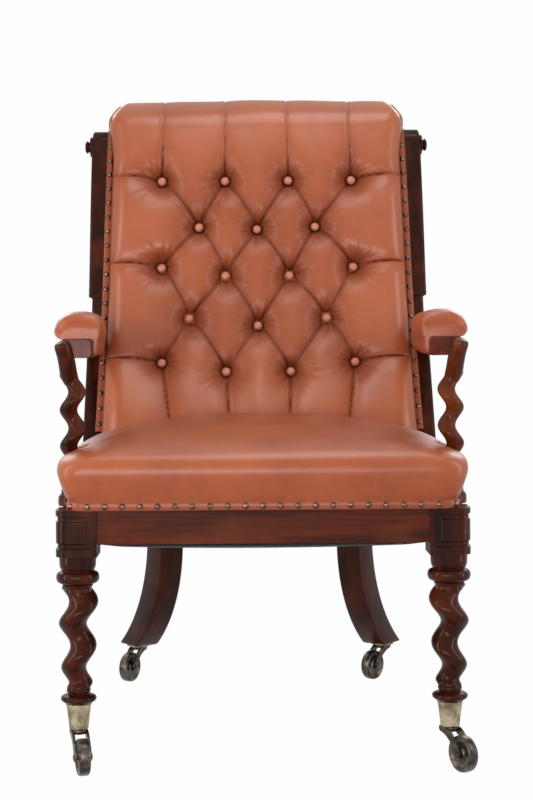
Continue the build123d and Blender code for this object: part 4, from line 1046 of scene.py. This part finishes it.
support_foot = flowing([(20.5, 374), (22.0, 376), (22.0, 385), (20.6, 389), (18.2, 391.4), (17.6, 394), (17.0, 398),
                        (14.0, 403), (12.5, 406)], 60)
for name, side in sides.items():
    foot = lathe("foot", support_foot, (side * support_x, support_y, 0))
    strand = twist("strand", side, side * support_x, support_y, 399, 566, 13.0, 13.0, 0.48, 53.0, 513.0, 0, wood_painted_lit)
    support = joined("arm_support_twist_" + name, [foot, strand])
    dressed(support, wood_painted_lit, stands_for=("arm_support_" + name,))
    line = flowing([(275.4, 57.4, 549), (278.6, 57.3, 555), (281.4, 54.8, 562), (283.0, 49.0, 571),
                    (283.9, 41.0, 583), (285.7, 33.8, 595), (288.4, 28.5, 605), (291.0, 25.5, 613)],
                   70) * np.array([side, 1, 1])
    radii = np.interp(np.linspace(0, 1, 70), [0, 0.16, 0.34, 0.6, 0.87, 0.95, 0.985, 1],
                      [8.0, 11.4, 12.7, 12.6, 11.8, 10.8, 9.2, 7.2])
    tip = tube_along("arm_scroll_tip_" + name, line, radii)
    dressed(tip, wood_painted_lit)
print("supports ready")


# %% [markdown]
# The arm is a flat bar that starts wide over the support and narrows to the post. Its pad is a firm roll of
# stuffing under hide that is drawn down over the inner edge and the front end, where a nail holds the fold.

# %% Arms
arm_low, arm_high, arm_front = 590.0, 618.0, 34.0
arm_end = float(back_y(607.5))


def arm_plan(y):
    """Middle line and width of the arm at depth y."""
    share = np.clip((y - support_y) / (arm_end - support_y), 0, 1)
    return 269.0 + (293.5 - 269.0) * share, 46.0 + (20.0 - 46.0) * share * share


for name, side in sides.items():
    rings = []
    stations = np.concatenate([arm_front + 6 * (1 - np.cos(np.linspace(0, math.pi / 2, 6))),
                               np.linspace(arm_front + 8, arm_end + 2, 50)])
    for y in stations:
        centre, width = arm_plan(y)
        lip = 1 - 0.10 * float(ease(arm_front + 8, arm_front, y))
        section = rounded_section(width / 2 * lip, (arm_high - arm_low) / 2 * lip, 5.0)
        # the rear end is cut to the slope of the post
        slope = 0.42 * section[:, 1] * float(ease(arm_end - 30, arm_end, y))
        rings.append(np.stack([side * (centre + section[:, 0]), y + slope,
                               (arm_low + arm_high) / 2 + section[:, 1]], 1))
    arm = skin("arm_wood_" + name, rings)
    dressed(arm, wood_deep, stands_for=("arm_" + name,))
print("arms ready")


# %% [markdown]
# A pad's section is one smooth line over its crown. It shrinks towards both ends, quickly in front, where the hide is
# pulled down, and slowly behind.

# %% Arm pads
def pad_section(half, top, skirt_in, skirt_out):
    """Across the pad, from the inner lower edge over the crown to the outer lower edge, as (x, z)."""
    keys = [(-half * 0.86, skirt_in), (-half * 0.90, 612.0), (-half * 0.97, 620.0), (-half, 630.0),
            (-half * 0.93, 642.0), (-half * 0.72, top - 4.5), (-half * 0.36, top - 0.6), (0.0, top),
            (half * 0.34, top - 1.6), (half * 0.64, top - 6.5), (half * 0.86, top - 15.0), (half * 0.98, 633.0),
            (half * 0.985, 625.5), (half * 0.86, skirt_out)]
    return flowing(keys, 60)


def make_pad(name, side):
    rings = []
    y_front, y_back = 56.0, arm_end - 24.0
    shares = np.concatenate([0.07 * (1 - np.cos(np.linspace(0, math.pi / 2, 22))),
                             np.linspace(0.075, 0.93, 70), 1 - 0.065 * (1 - np.sin(np.linspace(0, math.pi / 2, 14)))])
    for share in shares:
        y = y_front + (y_back - y_front) * share
        centre, _ = arm_plan(y)
        size = float(np.interp(share, [0, 0.5, 0.7, 0.9, 1.0], [1.0, 0.92, 0.83, 0.68, 0.56]))
        nose = math.sqrt(max(0.0, 1 - (1 - min(1.0, share / 0.07)) ** 2))
        tail = math.sqrt(max(0.0, 1 - (1 - min(1.0, (1 - share) / 0.06)) ** 2))
        grow = 0.55 + 0.45 * min(nose, tail)
        half = 37.0 * size * (0.80 + 0.20 * min(nose, tail))
        top = 620.0 + 39.0 * grow
        section = pad_section(half, top, 594.0 + 8 * share, 619.0)
        z = np.minimum(section[:, 1], 600 + (section[:, 1] - 600) * (0.25 + 0.75 * grow) + 5)
        rings.append(np.stack([side * (centre + section[:, 0]), np.full(len(section), y), z], 1))
    pad = skin(name, rings, sharp=75.0)
    # painted shade along the pad's lower edge; its top painted paler, for wear and as painted highlight
    measured(pad, lambda p: 0.6 * ease(604, 596, p[:, 2]), lambda p: 0.7 * ease(636, 656, p[:, 2]))
    return pad


for name, side in sides.items():
    pad = make_pad("arm_pad_leather_" + name, side)
    dressed(pad, cushion_hide, stands_for=("arm_pad_" + name,))
print("pads ready")


# %% [markdown]
# Sabre legs curve out behind. Each is a flat stick with square edges just eased, sawn to two arcs. Its head
# straddles the bowed rail. The skin below follows the same arcs as the source, with a small round on each edge.

# %% Rear legs
rear_angle, rear_x, rear_y = math.radians(35.4), 168.0, 548.0
sabre_radius, sabre_height, sabre_foot, sabre_thick, sabre_half = 262.0, 200.0, 63.0, 23.0, 25.0
kick = sabre_radius - math.sqrt(sabre_radius ** 2 - sabre_height ** 2)


def rear_foot(side):
    return side * (rear_x + kick * math.sin(rear_angle)), rear_y + kick * math.cos(rear_angle)


for name, side in sides.items():
    rings = []
    top = sabre_foot + sabre_height
    for z in np.concatenate([np.linspace(sabre_foot, top, 70), np.linspace(top + 2, foot_z, 16)]):
        drop = max(0.0, top - z)
        out = sabre_radius - math.sqrt(sabre_radius ** 2 - drop ** 2)
        half = sabre_half + 4.0 * drop / sabre_height
        eased = 1 - 0.05 * float(ease(sabre_foot + 3, sabre_foot, z))
        section = rounded_section(sabre_thick * eased, half * eased, 3.5)
        x, y = section[:, 0], section[:, 1] + out
        turn = -side * rear_angle
        rings.append(np.stack([side * rear_x + x * math.cos(turn) - y * math.sin(turn),
                               rear_y + x * math.sin(turn) + y * math.cos(turn), np.full(len(x), z)], 1))
    leg = skin("rear_leg_wood_" + name, rings)
    dressed(leg, wood_up, stands_for=("rear_leg_" + name,))
print("rear legs ready, feet at", [round(v, 1) for v in rear_foot(1)])


# %% [markdown]
# The rails are plain boards that show only their faces, so the frame's own solids stay and take the finish. The
# beech rails and the springs inside stay too: nobody sees them, but they are there.

# %% Rails and hidden pieces
stay = {
    "seat_front_rail": wood_across, "seat_rear_rail": wood_across, "seat_side_rail_left": wood_deep,
    "seat_side_rail_right": wood_deep, "back_top_rail": beech, "back_bottom_rail": beech,
    "seat_corner_block_left": beech, "seat_corner_block_right": beech, "seat_springs": spring_steel,
    "rear_castor_plates": cup_brass,
}
for node, finish in stay.items():
    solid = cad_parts[node]
    solid.data.materials.clear()
    solid.data.materials.append(finish)
print(len(stay), "solids of the frame keep their shape")


# %% [markdown]
# Black cloth closes the underside. It is tacked round the rails and hangs a little between them. One flat sheet is
# cut to the frame's shape and its middle is let down.

# %% The dust cover
side_outer, rail_back, bow_depth, frame_bottom = 290.0, 440.0, 145.0, 326.0


def sheet_of(name, rows):
    """An open mesh over rows of points, in millimetres."""
    rows = np.asarray(rows, float)
    count, wide = rows.shape[:2]
    corners = [i * wide + k for i in range(count - 1) for k in range(wide - 1)]
    faces = [(a, a + 1, a + wide + 1, a + wide) for a in corners]
    cloth = shown(name, mesh_of(name, placed(rows.reshape(-1, 3)).tolist(), faces))
    cloth.data.shade_smooth()
    return cloth


def make_dust_cover():
    margin, front, rows = 6.0, -20.0, []
    back = rail_back + bow_depth - margin
    for y in np.linspace(front, back, 60):
        half = side_outer - margin
        if y > rail_back:
            half *= math.sqrt(max(0.0, 1 - ((y - rail_back) / (bow_depth - margin)) ** 2))
        if y < block_half + 0.5:
            half = leg_x - block_half - 0.5
        x = np.linspace(-1, 1, 60) * max(half, 1.0)
        share = (y - front) / (back - front)
        depth = 9.0 * np.interp(share, [0, 0.3, 0.7, 1], [0.7, 1, 1, 0.0]) * (1 - (x / side_outer) ** 2)
        depth = depth * ease(0, 40, half - np.abs(x) + 4)
        rows.append(np.stack([x, np.full(60, y), frame_bottom - 0.6 - depth], 1))
    cover = sheet_of("dust_cover_cloth", rows)
    return cover, sum(face.area for face in cover.data.polygons)


dust_cover, cover_area = make_dust_cover()
dressed(dust_cover, cambric, stands_for=("seat_dust_cover",))
print("dust cover of", round(cover_area, 3), "square metres")


# %% [markdown]
# Inside, jute straps are woven under and over each other to carry the springs, hessian is stretched over the
# springs, and a lining of the same cloth closes the back behind its stuffing.

# %% Inside: webbing, hessian on the springs, and the lining of the back
strap_columns = [130.0 * n for n in (-1, 0, 1)]
strap_lines = [192.0 + 112.0 * n for n in (-1, 0, 1)]
strap_half, weave_height, weave_reach, rail_gap = 26, 0.648, 38, 12
strap_section = [(-25, -0.5), (-24, -0.7), (0, -0.72), (24, -0.7), (25, -0.5), (25, 0.5), (24, 0.7), (0, 0.72),
                 (-24, 0.7), (-25, 0.5)]


def make_webbing():
    low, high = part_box("seat_webbing")
    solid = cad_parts["seat_webbing"]
    points = np.array([solid.matrix_world @ v.co for v in solid.data.vertices])
    points = (points - np.array([0, leg_line, 0])) * 1000
    middle, straps = (low.z + high.z) * 500, []
    for way, (centres, crossing) in enumerate(((strap_columns, strap_lines), (strap_lines, strap_columns))):
        for k, centre in enumerate(centres):
            own = points[np.abs(points[:, way] - centre) < strap_half]
            own = own[own[:, 2] > middle - 0.1] if way else own[own[:, 2] < middle + 0.1]
            reach = own[:, 1 - way]
            rings = []
            for s in np.linspace(reach.min(), reach.max() - (0 if way else rail_gap), 60):
                weave = sum((-1) ** (n + k) * math.exp(-((s - c) / weave_reach) ** 2)
                            for n, c in enumerate(crossing))
                z = middle + weave_height * weave
                rings.append([(s, centre + a, z + b) if way else (centre + a, s, z + b) for a, b in strap_section])
            straps.append(skin("strap", rings, sharp=60.0))
    return joined("seat_webbing_jute", straps)


def cloth_between(name, node, rows):
    """A stretched sheet in place of a cloth node; its flat size comes from its own edges."""
    rows = np.asarray(rows, float)
    cloth = sheet_of(name, rows)
    wide = np.linalg.norm(rows[0, -1] - rows[0, 0]) / 1000
    long = np.linalg.norm(np.diff(rows[:, 0], axis=0), axis=1).sum() / 1000
    dressed(cloth, hessian, stands_for=(node,))
    return wide, long


dressed(make_webbing(), jute, stands_for=("seat_webbing",))
low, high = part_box("seat_hessian")
rows = []
for y in np.linspace(low.y, high.y, 70):
    x = np.linspace(low.x, high.x, 70)
    sag = 0.5 - 0.5 * np.cos(2 * math.pi * x / 0.130) * np.cos(2 * math.pi * (y - leg_line - 0.192) / 0.112)
    rows.append(np.stack([x * 1000, np.full(70, (y - leg_line) * 1000), high.z * 1000 - 0.3 - 0.9 * sag], 1))
print("hessian", cloth_between("seat_hessian_cloth", "seat_hessian", rows))
low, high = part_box("back_lining")
rows = []
for z in np.linspace(low.z * 1000 + 0.5, high.z * 1000 - 0.5, 120):
    x = np.linspace(-261.0, 261.0, 40)
    rows.append(np.stack([x, np.full(40, float(back_y(z)) + 0.7), np.full(40, z)], 1))
print("lining", cloth_between("back_lining_cloth", "back_lining", rows))


# %% [markdown]
# The outside back is one hide, flat between the posts above and drawn out below to meet the bowed rail. The
# banding is a narrow strip of the same hide, glued over the raw edges and held by the nails.

# %% The outside back
def make_outside_back():
    bow_y, behind = 571.0, 28.5
    share = np.linspace(-1, 1, 60)
    share = np.sign(share) * (1 - (1 - np.abs(share)) ** 1.5)
    x, rings = post_inner * share, []
    for z in np.linspace(post_top, foot_z, 90):
        start = float(back_y(z)) + behind
        y = start + (bow_y - start) * ease(720.0, foot_z, z) * np.maximum(0, 1 - share ** 2) ** 0.6
        puff = 1.2 * (1 - share ** 2) * math.sin(math.pi * min(1, max(0, (z - 420) / 560)))
        inner = np.stack([x, y, np.full(60, z)], 1)
        outer = np.stack([x, y + 2.0 + puff, np.full(60, z)], 1)
        rings.append(np.concatenate([inner, outer[::-1]]))
    return skin("outside_back_leather", rings, sharp=50.0)


outside = make_outside_back()
# painted shade near the posts and along the foot; the upper part a little paler as painted highlight
measured(outside, lambda p: 0.35 * ease(250, 262, np.abs(p[:, 0])) + 0.4 * ease(386, 376, p[:, 2]),
         lambda p: 0.2 * ease(600, 800, p[:, 2]))
dressed(outside, trim_hide, stands_for=("outside_back",))
print("outside back", len(outside.data.polygons), "faces")


# %% [markdown]
# The banding follows two lines: up each post along the curve of the back, and along the seat's lower edge, where it
# stops on both sides of the arm supports.

# %% Banding on the back and round the seat
banding_low, banding_high, banding_thickness, banding_gap = 374.2, 386.0, 2.0, 24.5
# across the strip: how far over it, and how proud of its ground
banding_crown = ((0, 0), (0, 0.6), (0.08, 1), (0.5, 1.15), (0.92, 1), (1, 0.6), (1, 0))


def strip_along(name, inner, outer, face_way):
    """A strip with eased edges between two lines, standing proud along face_way."""
    lines = [inner + (outer - inner) * share + face_way * banding_thickness * proud for share, proud in banding_crown]
    return skin(name, np.stack(lines, 1), sharp=60.0)


for name, side in sides.items():
    heights = np.linspace(458, 1003.5, 120)
    inner, outer = (np.stack([side * (reach + splay(heights)), back_y(heights), heights], 1)
                    for reach in (262.0, 274.0))
    strip = strip_along("back_banding_leather_" + name, inner, outer, out_of_back(heights))
    # an even touch of painted shade and painted highlight over the strip
    measured(strip, 0.25, 0.2)
    dressed(strip, trim_hide, stands_for=("back_banding_" + name,))

# half of the seat's lower outline, from the middle of the front round a corner and back, then both halves
edge = [(x, -seat_nose) for x in np.linspace(0, seat_half - seat_corner, 30)]
edge += front_corner(seat_half, -seat_nose, seat_corner)
edge += [(seat_half, y) for y in np.linspace(seat_corner - seat_nose + 1, support_y - banding_gap, 20)]
edge = np.concatenate([np.array(edge)[::-1] * np.array([-1, 1]), edge[1:]])
ways = np.gradient(edge, axis=0)
ways = np.stack([ways[:, 1], -ways[:, 0], np.zeros(len(edge))], 1)
ways /= np.linalg.norm(ways, axis=1, keepdims=True)
low_line, high_line = (np.column_stack([edge, np.full(len(edge), z)]) for z in (banding_low, banding_high))
strips = [strip_along("front_banding", low_line, high_line, ways)]
for side in sides.values():
    ys = np.linspace(support_y + banding_gap, 368, 30)
    low_line, high_line = (np.stack([np.full(30, side * seat_half), ys, np.full(30, z)], 1)
                           for z in (banding_low, banding_high))
    strips.append(strip_along("side_banding", low_line, high_line, np.tile([float(side), 0, 0], (30, 1))))
seat_banding = joined("seat_banding_leather", strips)
# an even touch of painted shade and painted highlight over the strip
measured(seat_banding, 0.2, 0.25)
dressed(seat_banding, trim_hide, stands_for=("seat_banding",))
print("banding ready")


# %% [markdown]
# Sixty-five nails and eighteen buttons are two small shapes set again and again on points that know which way is
# out. One tree sets either of them: it turns each copy to its point's direction and varies its size a little,
# because no row of hand-driven nails is even.

# %% A tree that sets studs on points
def stud_tree():
    bench, given = new_tree("studs_on_points", [("Stud", "Object"), ("Unevenness", "Float"), ("Seed", "Int"),
                                                ("Material", "Material")])
    out = bench.add("GeometryNodeInputNamedAttribute", {"Name": "outward"}, data_type="FLOAT_VECTOR")["Attribute"]
    tilt = bench.add("FunctionNodeRandomValue", {"Min": (-0.09, -0.09, -0.09), "Max": (0.09, 0.09, 0.09),
                                                 "Seed": given["Seed"]}, data_type="FLOAT_VECTOR")[0]
    small = bench.add("ShaderNodeVectorMath", {0: tilt, "Scale": given["Unevenness"]}, operation="SCALE")["Vector"]
    leaning = bench.add("ShaderNodeVectorMath", {0: out, 1: small}, operation="ADD")["Vector"]
    turned_to = bench.add("FunctionNodeAlignRotationToVector", {"Vector": leaning}, axis="Z")["Rotation"]
    spin = bench.add("FunctionNodeRandomValue", {2: 0.95, 3: 1.05, "Seed": given["Seed"]}, data_type="FLOAT")[1]
    shape = bench.add("GeometryNodeObjectInfo", {"Object": given["Stud"]})["Geometry"]
    copies = bench.add("GeometryNodeInstanceOnPoints", {"Points": given["Geometry"], "Instance": shape,
                                                        "Rotation": turned_to, "Scale": spin})["Instances"]
    close_tree(bench, copies, given["Material"])
    return bench.tree


studs = stud_tree()


def set_studs(name, points, outward, stud, uneven, seed, material):
    """Copies of a stud on points in millimetres, as one plain piece."""
    mesh = mesh_of(name + "_points", placed(points).tolist(), [])
    layer = mesh.attributes.new("outward", "FLOAT_VECTOR", "POINT")
    layer.data.foreach_set("vector", np.asarray(outward, np.float32).reshape(-1))
    piece = grown(name, mesh, studs, {"Stud": stud, "Unevenness": uneven, "Seed": seed, "Material": material})
    piece.data.shade_smooth()
    return piece


def stud_shape(name, profile, around):
    """A small turned shape about the world's origin, in millimetres, kept out of the scene."""
    points = [(radius * x / 1000, radius * y / 1000, height / 1000)
              for radius, height in profile for x, y in zip(*circle(around))]
    mesh = mesh_of(name, points, tube_faces(len(profile), around))
    tidy(mesh, 60)
    return bpy.data.objects.new(name, mesh)


nail_head = stud_shape("nail_head", [(4.5, -0.6), (4.7, 0.0), (4.65, 0.5), (4.2, 1.5), (3.3, 2.4), (2.0, 3.0),
                                     (0.5, 3.25)], 18)
button_head = stud_shape("button_head", [(5.5, -3.0), (7.2, -1.8), (8.0, 0.4), (7.9, 2.2), (7.1, 4.2), (5.4, 5.9),
                                         (3.0, 6.9), (0.6, 7.2)], 26)
print("stud shapes of", len(nail_head.data.polygons), "and", len(button_head.data.polygons), "faces")


# %% [markdown]
# The nails run along the middle of the banding at even steps, and the buttons sit in the pits of the cushion.

# %% Nails and buttons in place
nail_line, nail_lift, button_sunk = 268.0, 2.2, 9.3
seat_nail_span, seat_nail_count, seat_nail_height = 548.0, 23, 380.0
for name, side in sides.items():
    heights = np.linspace(470.0, 998.0, 21)
    way = out_of_back(heights)
    spots = np.stack([side * (nail_line + splay(heights)), back_y(heights), heights], 1) + way * nail_lift
    nails = set_studs("back_nails_bronze_" + name, spots, way, nail_head, 1.0, 5 + side, nail_bronze)
    dressed(nails, nail_bronze, stands_for=("back_nails_" + name,))
xs = seat_nail_span * (np.arange(seat_nail_count) / (seat_nail_count - 1) - 0.5)
past_corner = np.maximum(0, np.abs(xs) - (seat_half - seat_corner))
turns = np.sign(xs) * np.arcsin(past_corner / (seat_corner + banding_thickness))
ys = seat_corner - seat_nose - (seat_corner + nail_lift) * np.cos(turns)
spots = np.stack([xs, ys, np.full(seat_nail_count, seat_nail_height)], 1)
way = np.stack([np.sin(turns), -np.cos(turns), np.zeros(seat_nail_count)], 1)
nails = set_studs("seat_nails_bronze", spots, way, nail_head, 1.0, 11, nail_bronze)
dressed(nails, nail_bronze, stands_for=("seat_nails",))
places = np.array(buttons)
spots = np.stack([places[:, 0], back_y(places[:, 1]) - button_sunk, places[:, 1]], 1)
way = out_of_back(places[:, 1])
back_buttons = set_studs("back_buttons_leather", spots, way, button_head, 0.8, 3, button_hide_painted_highlight)
# the buttons' tops painted paler as painted highlight
measured(back_buttons, 0.0, 0.8)
dressed(back_buttons, button_hide_painted_highlight, stands_for=("back_buttons",))
print("nails and buttons set")


# %% [markdown]
# Each castor has a cup or plate that stays on the leg, a horn that swivels under it, and a wheel that spins in the
# horn. Horn and wheel ride on bodies of their own, so that they turn when the chair is pushed.

# %% Castors
def mirrored(half):
    """A turned profile that is the same on both sides of its middle."""
    return half + [(radius, -height) for radius, height in reversed(half)]


trail, wheel_r = 30.0, 26.0
axle_z = wheel_r * math.cos(math.pi / 32)
wheel_profile = flowing(mirrored([(3.2, -6.6), (7.0, -6.8), (8.4, -6.2), (9.4, -4.8), (12.0, -4.4), (17.5, -4.6),
                                  (20.2, -6.4), (22.4, -7.8), (24.4, -7.4), (25.5, -5.4), (25.85, -2.6)]), 120)
rod_profile = mirrored([(2.4, -14.0), (4.2, -13.6), (4.6, -12.6), (4.2, -12.0), (3.0, -11.9)])
disc_profile = flowing([(9.0, 52.5), (12.0, 53.6), (12.9, 56.4), (12.6, 59.0), (11.0, 59.7)], 20)


def cheek_rings(x_low, x_high):
    """One cheek of the horn as a stack of outlines across its thickness, with eased edges."""
    keys = [(11.0, 59.6), (-2.0, 59.6), (-13.0, 56.5), (-24.0, 47.0), (-33.5, 35.0), (-37.0, axle_z + 1),
            (-35.0, axle_z - 5.0), (-30.0, axle_z - 6.8), (-25.0, axle_z - 4.6), (-20.5, 33.0), (-12.0, 43.5),
            (0.0, 50.5), (10.0, 53.4)]
    outline = flowing(keys + [keys[0]], 64)[:-1]
    pull = outline - outline.mean(0)
    pull /= np.maximum(np.linalg.norm(pull, axis=1, keepdims=True), 1e-6)
    rings = []
    for x, inset in ((x_low, 0.8), (x_low + 0.7, 0.0), (x_high - 0.7, 0.0), (x_high, 0.8)):
        rings.append(np.column_stack([np.full(len(outline), x), outline - pull * inset]))
    return rings


def make_castor(end, name, x, y, heading):
    place = Matrix.Translation((x, y, 0)) @ Matrix.Rotation(math.radians(heading), 4, "Z")
    on_side = place @ Matrix.Rotation(math.radians(90), 4, "Y")
    axle = (place @ Matrix.Translation((0, -trail, axle_z))).translation
    tag = f"{end}_{name}"
    top = 65.0 if end == "front" else 63.0
    wheel = lathe("wheel", wheel_profile, axle, on_side, steps=64)
    disc = lathe("disc", disc_profile, place.translation)
    pin = lathe("pin", [(4.0, 59.0), (4.0, top + 0.6), (6.6, top + 0.7), (6.4, top + 2.0), (4.0, top + 3.0)],
                place.translation, steps=32)
    cheeks = [skin("cheek", np.array(cheek_rings(*span)) @ np.array(place.to_3x3()).T + np.array(place.translation))
              for span in ((8.6, 12.1), (-12.1, -8.6))]
    rod = lathe("rod", rod_profile, axle, on_side, steps=32)
    horn = joined(tag + "_horn_brass", [disc, pin] + cheeks)
    wheel.name, rod.name = tag + "_wheel_brass", tag + "_axle_brass"
    dressed(wheel, wheel_brass, tag + "_wheel", (tag + "_castor_wheel",))
    dressed(horn, horn_brass, tag + "_castor", (tag + "_castor_horn",))
    dressed(rod, horn_brass, tag + "_castor", (tag + "_castor_axle",))


headings = {("front", "left"): 15.5, ("front", "right"): 30.0, ("rear", "left"): -28.0, ("rear", "right"): -40.0}
for (end, name), heading in headings.items():
    side = sides[name]
    x, y = (side * leg_x, 0.0) if end == "front" else rear_foot(side)
    make_castor(end, name, x, y, heading)
cup_outer = flowing([(13.0, 60.0), (13.6, 61.0), (14.2, 66), (15.4, 76), (16.9, 88), (17.9, 93.5), (18.5, 95.4),
                     (18.3, 96.0)], 40)
cup_inner = [(16.6, 95.6), (13.2, 66), (4.2, 65.2), (4.1, 60.0)]
cups = [lathe("cup", np.concatenate([cup_outer, cup_inner]), (side * leg_x, 0, 0)) for side in sides.values()]
cup_pair = joined("front_castor_cups_brass", cups)
dressed(cup_pair, cup_brass, stands_for=("front_castor_cups",))
print("castors ready, axles", round(axle_z, 2), "above the floor")


# %% [markdown]
# A turned boss closes the end of the scroll on the outer side of each post: a flat disc, a hollow neck and a
# button, all from one lathe profile laid on its side.

# %% Bosses on the posts
boss_height = 975.0
boss_profile = flowing([(18.3, 0.0), (18.5, 2.2), (17.6, 3.9), (13.0, 4.3), (9.8, 5.6), (9.6, 7.2), (11.2, 8.6),
                        (11.4, 10.2), (9.6, 12.4), (6.0, 13.6), (1.0, 14.0)], 60)
bosses = []
for side in sides.values():
    centre = (side * post_outer, float(back_y(boss_height)) + post_depth / 2, boss_height)
    bosses.append(lathe("boss", boss_profile, centre, Matrix.Rotation(math.radians(90 * side), 4, "Y")))
dressed(joined("post_bosses_wood", bosses), wood_up, stands_for=("post_bosses",))
print("bosses ready")


# %% [markdown]
# The light is that of a plain white studio: a tall soft lamp on each side, one in front, one above, two behind and
# a pale world. The floor takes the chair's shadow, and shows white to the camera, in mirrors and through glass,
# because those rays see a white surface there, not because more light falls on it.

# %% Floor, world and lamps
def white_to_camera(tree, kind, colour, keep, surface, output):
    """Lays plain white over a surface for the rays of camera, mirrors and glass; keep is the white's share."""
    bench = Bench(tree)
    path = bench.add("ShaderNodeLightPath")
    seen = (path["Is Camera Ray"] + path["Is Glossy Ray"] + path["Is Transmission Ray"]).between(0.0, 0.5)
    white = bench.add(kind, {"Color": colour})[0]
    mixed = bench.add("ShaderNodeMixShader", {0: seen * keep, 1: Wire(bench, surface), 2: white})[0]
    tree.links.new(mixed.socket, output)


paper = Finish("studio_paper", Base_Color=(0.34, 0.34, 0.34, 1), Roughness=0.9)
white_to_camera(paper.tree, "ShaderNodeEmission", (1, 1, 1, 1), 0.985, paper.shader.outputs[0],
                paper.tree.nodes["Material Output"].inputs["Surface"])
floor = shown("studio_floor", mesh_of("studio_floor", [(-6, -6, 0), (6, -6, 0), (6, 6, 0), (-6, 6, 0)],
                                      [(0, 1, 2, 3)]))
floor.data.materials.append(paper.material)
floor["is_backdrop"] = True

world = bpy.data.worlds.new("studio_world")
bpy.context.scene.world = world
world.use_nodes = True
backdrop = world.node_tree.nodes["Background"]
backdrop.inputs["Color"].default_value = (1.0, 0.98, 0.96, 1)
backdrop.inputs["Strength"].default_value = 0.15
white_to_camera(world.node_tree, "ShaderNodeBackground", (0.99, 0.99, 0.99, 1), 1.0, backdrop.outputs[0],
                world.node_tree.nodes["World Output"].inputs["Surface"])


def soft_lamp(name, place, target, wide, high, power, colour):
    lamp = bpy.data.lights.new(name, "AREA")
    lamp.shape = "RECTANGLE"
    lamp.size, lamp.size_y, lamp.energy, lamp.color = wide, high, power, colour
    holder = shown(name, lamp)
    holder.location = place
    holder.visible_camera = False
    holder.rotation_euler = (Vector(target) - Vector(place)).to_track_quat("-Z", "Y").to_euler()


soft_white = (1.0, 0.98, 0.96)
soft_lamp("left_strip", (-1.5, -0.75, 0.9), (0, 0.1, 0.6), 0.17, 1.9, 16.0, soft_white)
soft_lamp("right_strip", (1.5, -0.65, 0.9), (0, 0.1, 0.6), 0.17, 1.9, 14.0, soft_white)
soft_lamp("front_panel", (-0.4, -2.1, 0.62), (0, -0.25, 0.40), 1.5, 0.5, 29.0, (1.0, 0.93, 0.94))
soft_lamp("top_panel", (0.1, -0.2, 2.1), (0, -0.1, 0.5), 1.0, 0.6, 9.5, (1.0, 0.98, 0.98))
for name, x in (("rear_left", -1.3), ("rear_right", 1.3)):
    soft_lamp(name, (x, 2.2, 2.0), (0, 0.3, 0.6), 1.0, 1.0, 11, soft_white)
print("studio lit")


# %% [markdown]
# The camera stands where the photo's stood, as measured from the photo: a long lens, 2.3 metres in front of the front
# legs and at the height of the arms. It looks level, so uprights stay parallel; its picture is shifted down instead,
# and rolled by half a degree.

# %% The camera
camera_data = bpy.data.cameras.new("studio_camera")
camera_data.lens, camera_data.sensor_width = 72.2, 36.0
camera_data.shift_x, camera_data.shift_y = 22.4 / 800, -61 / 800
camera = shown("studio_camera", camera_data)
camera.location = (-0.025, leg_line - 2.300, 0.616)
level = Matrix.Rotation(math.radians(90), 4, "X")
camera.rotation_euler = (level @ Matrix.Rotation(math.radians(-0.45), 4, "Z")).to_euler()
bpy.context.scene.camera = camera
bpy.context.scene.view_settings.view_transform = "Standard"

# %% [markdown]
# Last, the box of the dressed chair is printed. It differs from the box of the bare frame by the thickness of hides
# and rolls alone.

# %% Sizes, and the end
low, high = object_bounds()
print("visual box", [round(v, 4) for v in (*low, *high)])
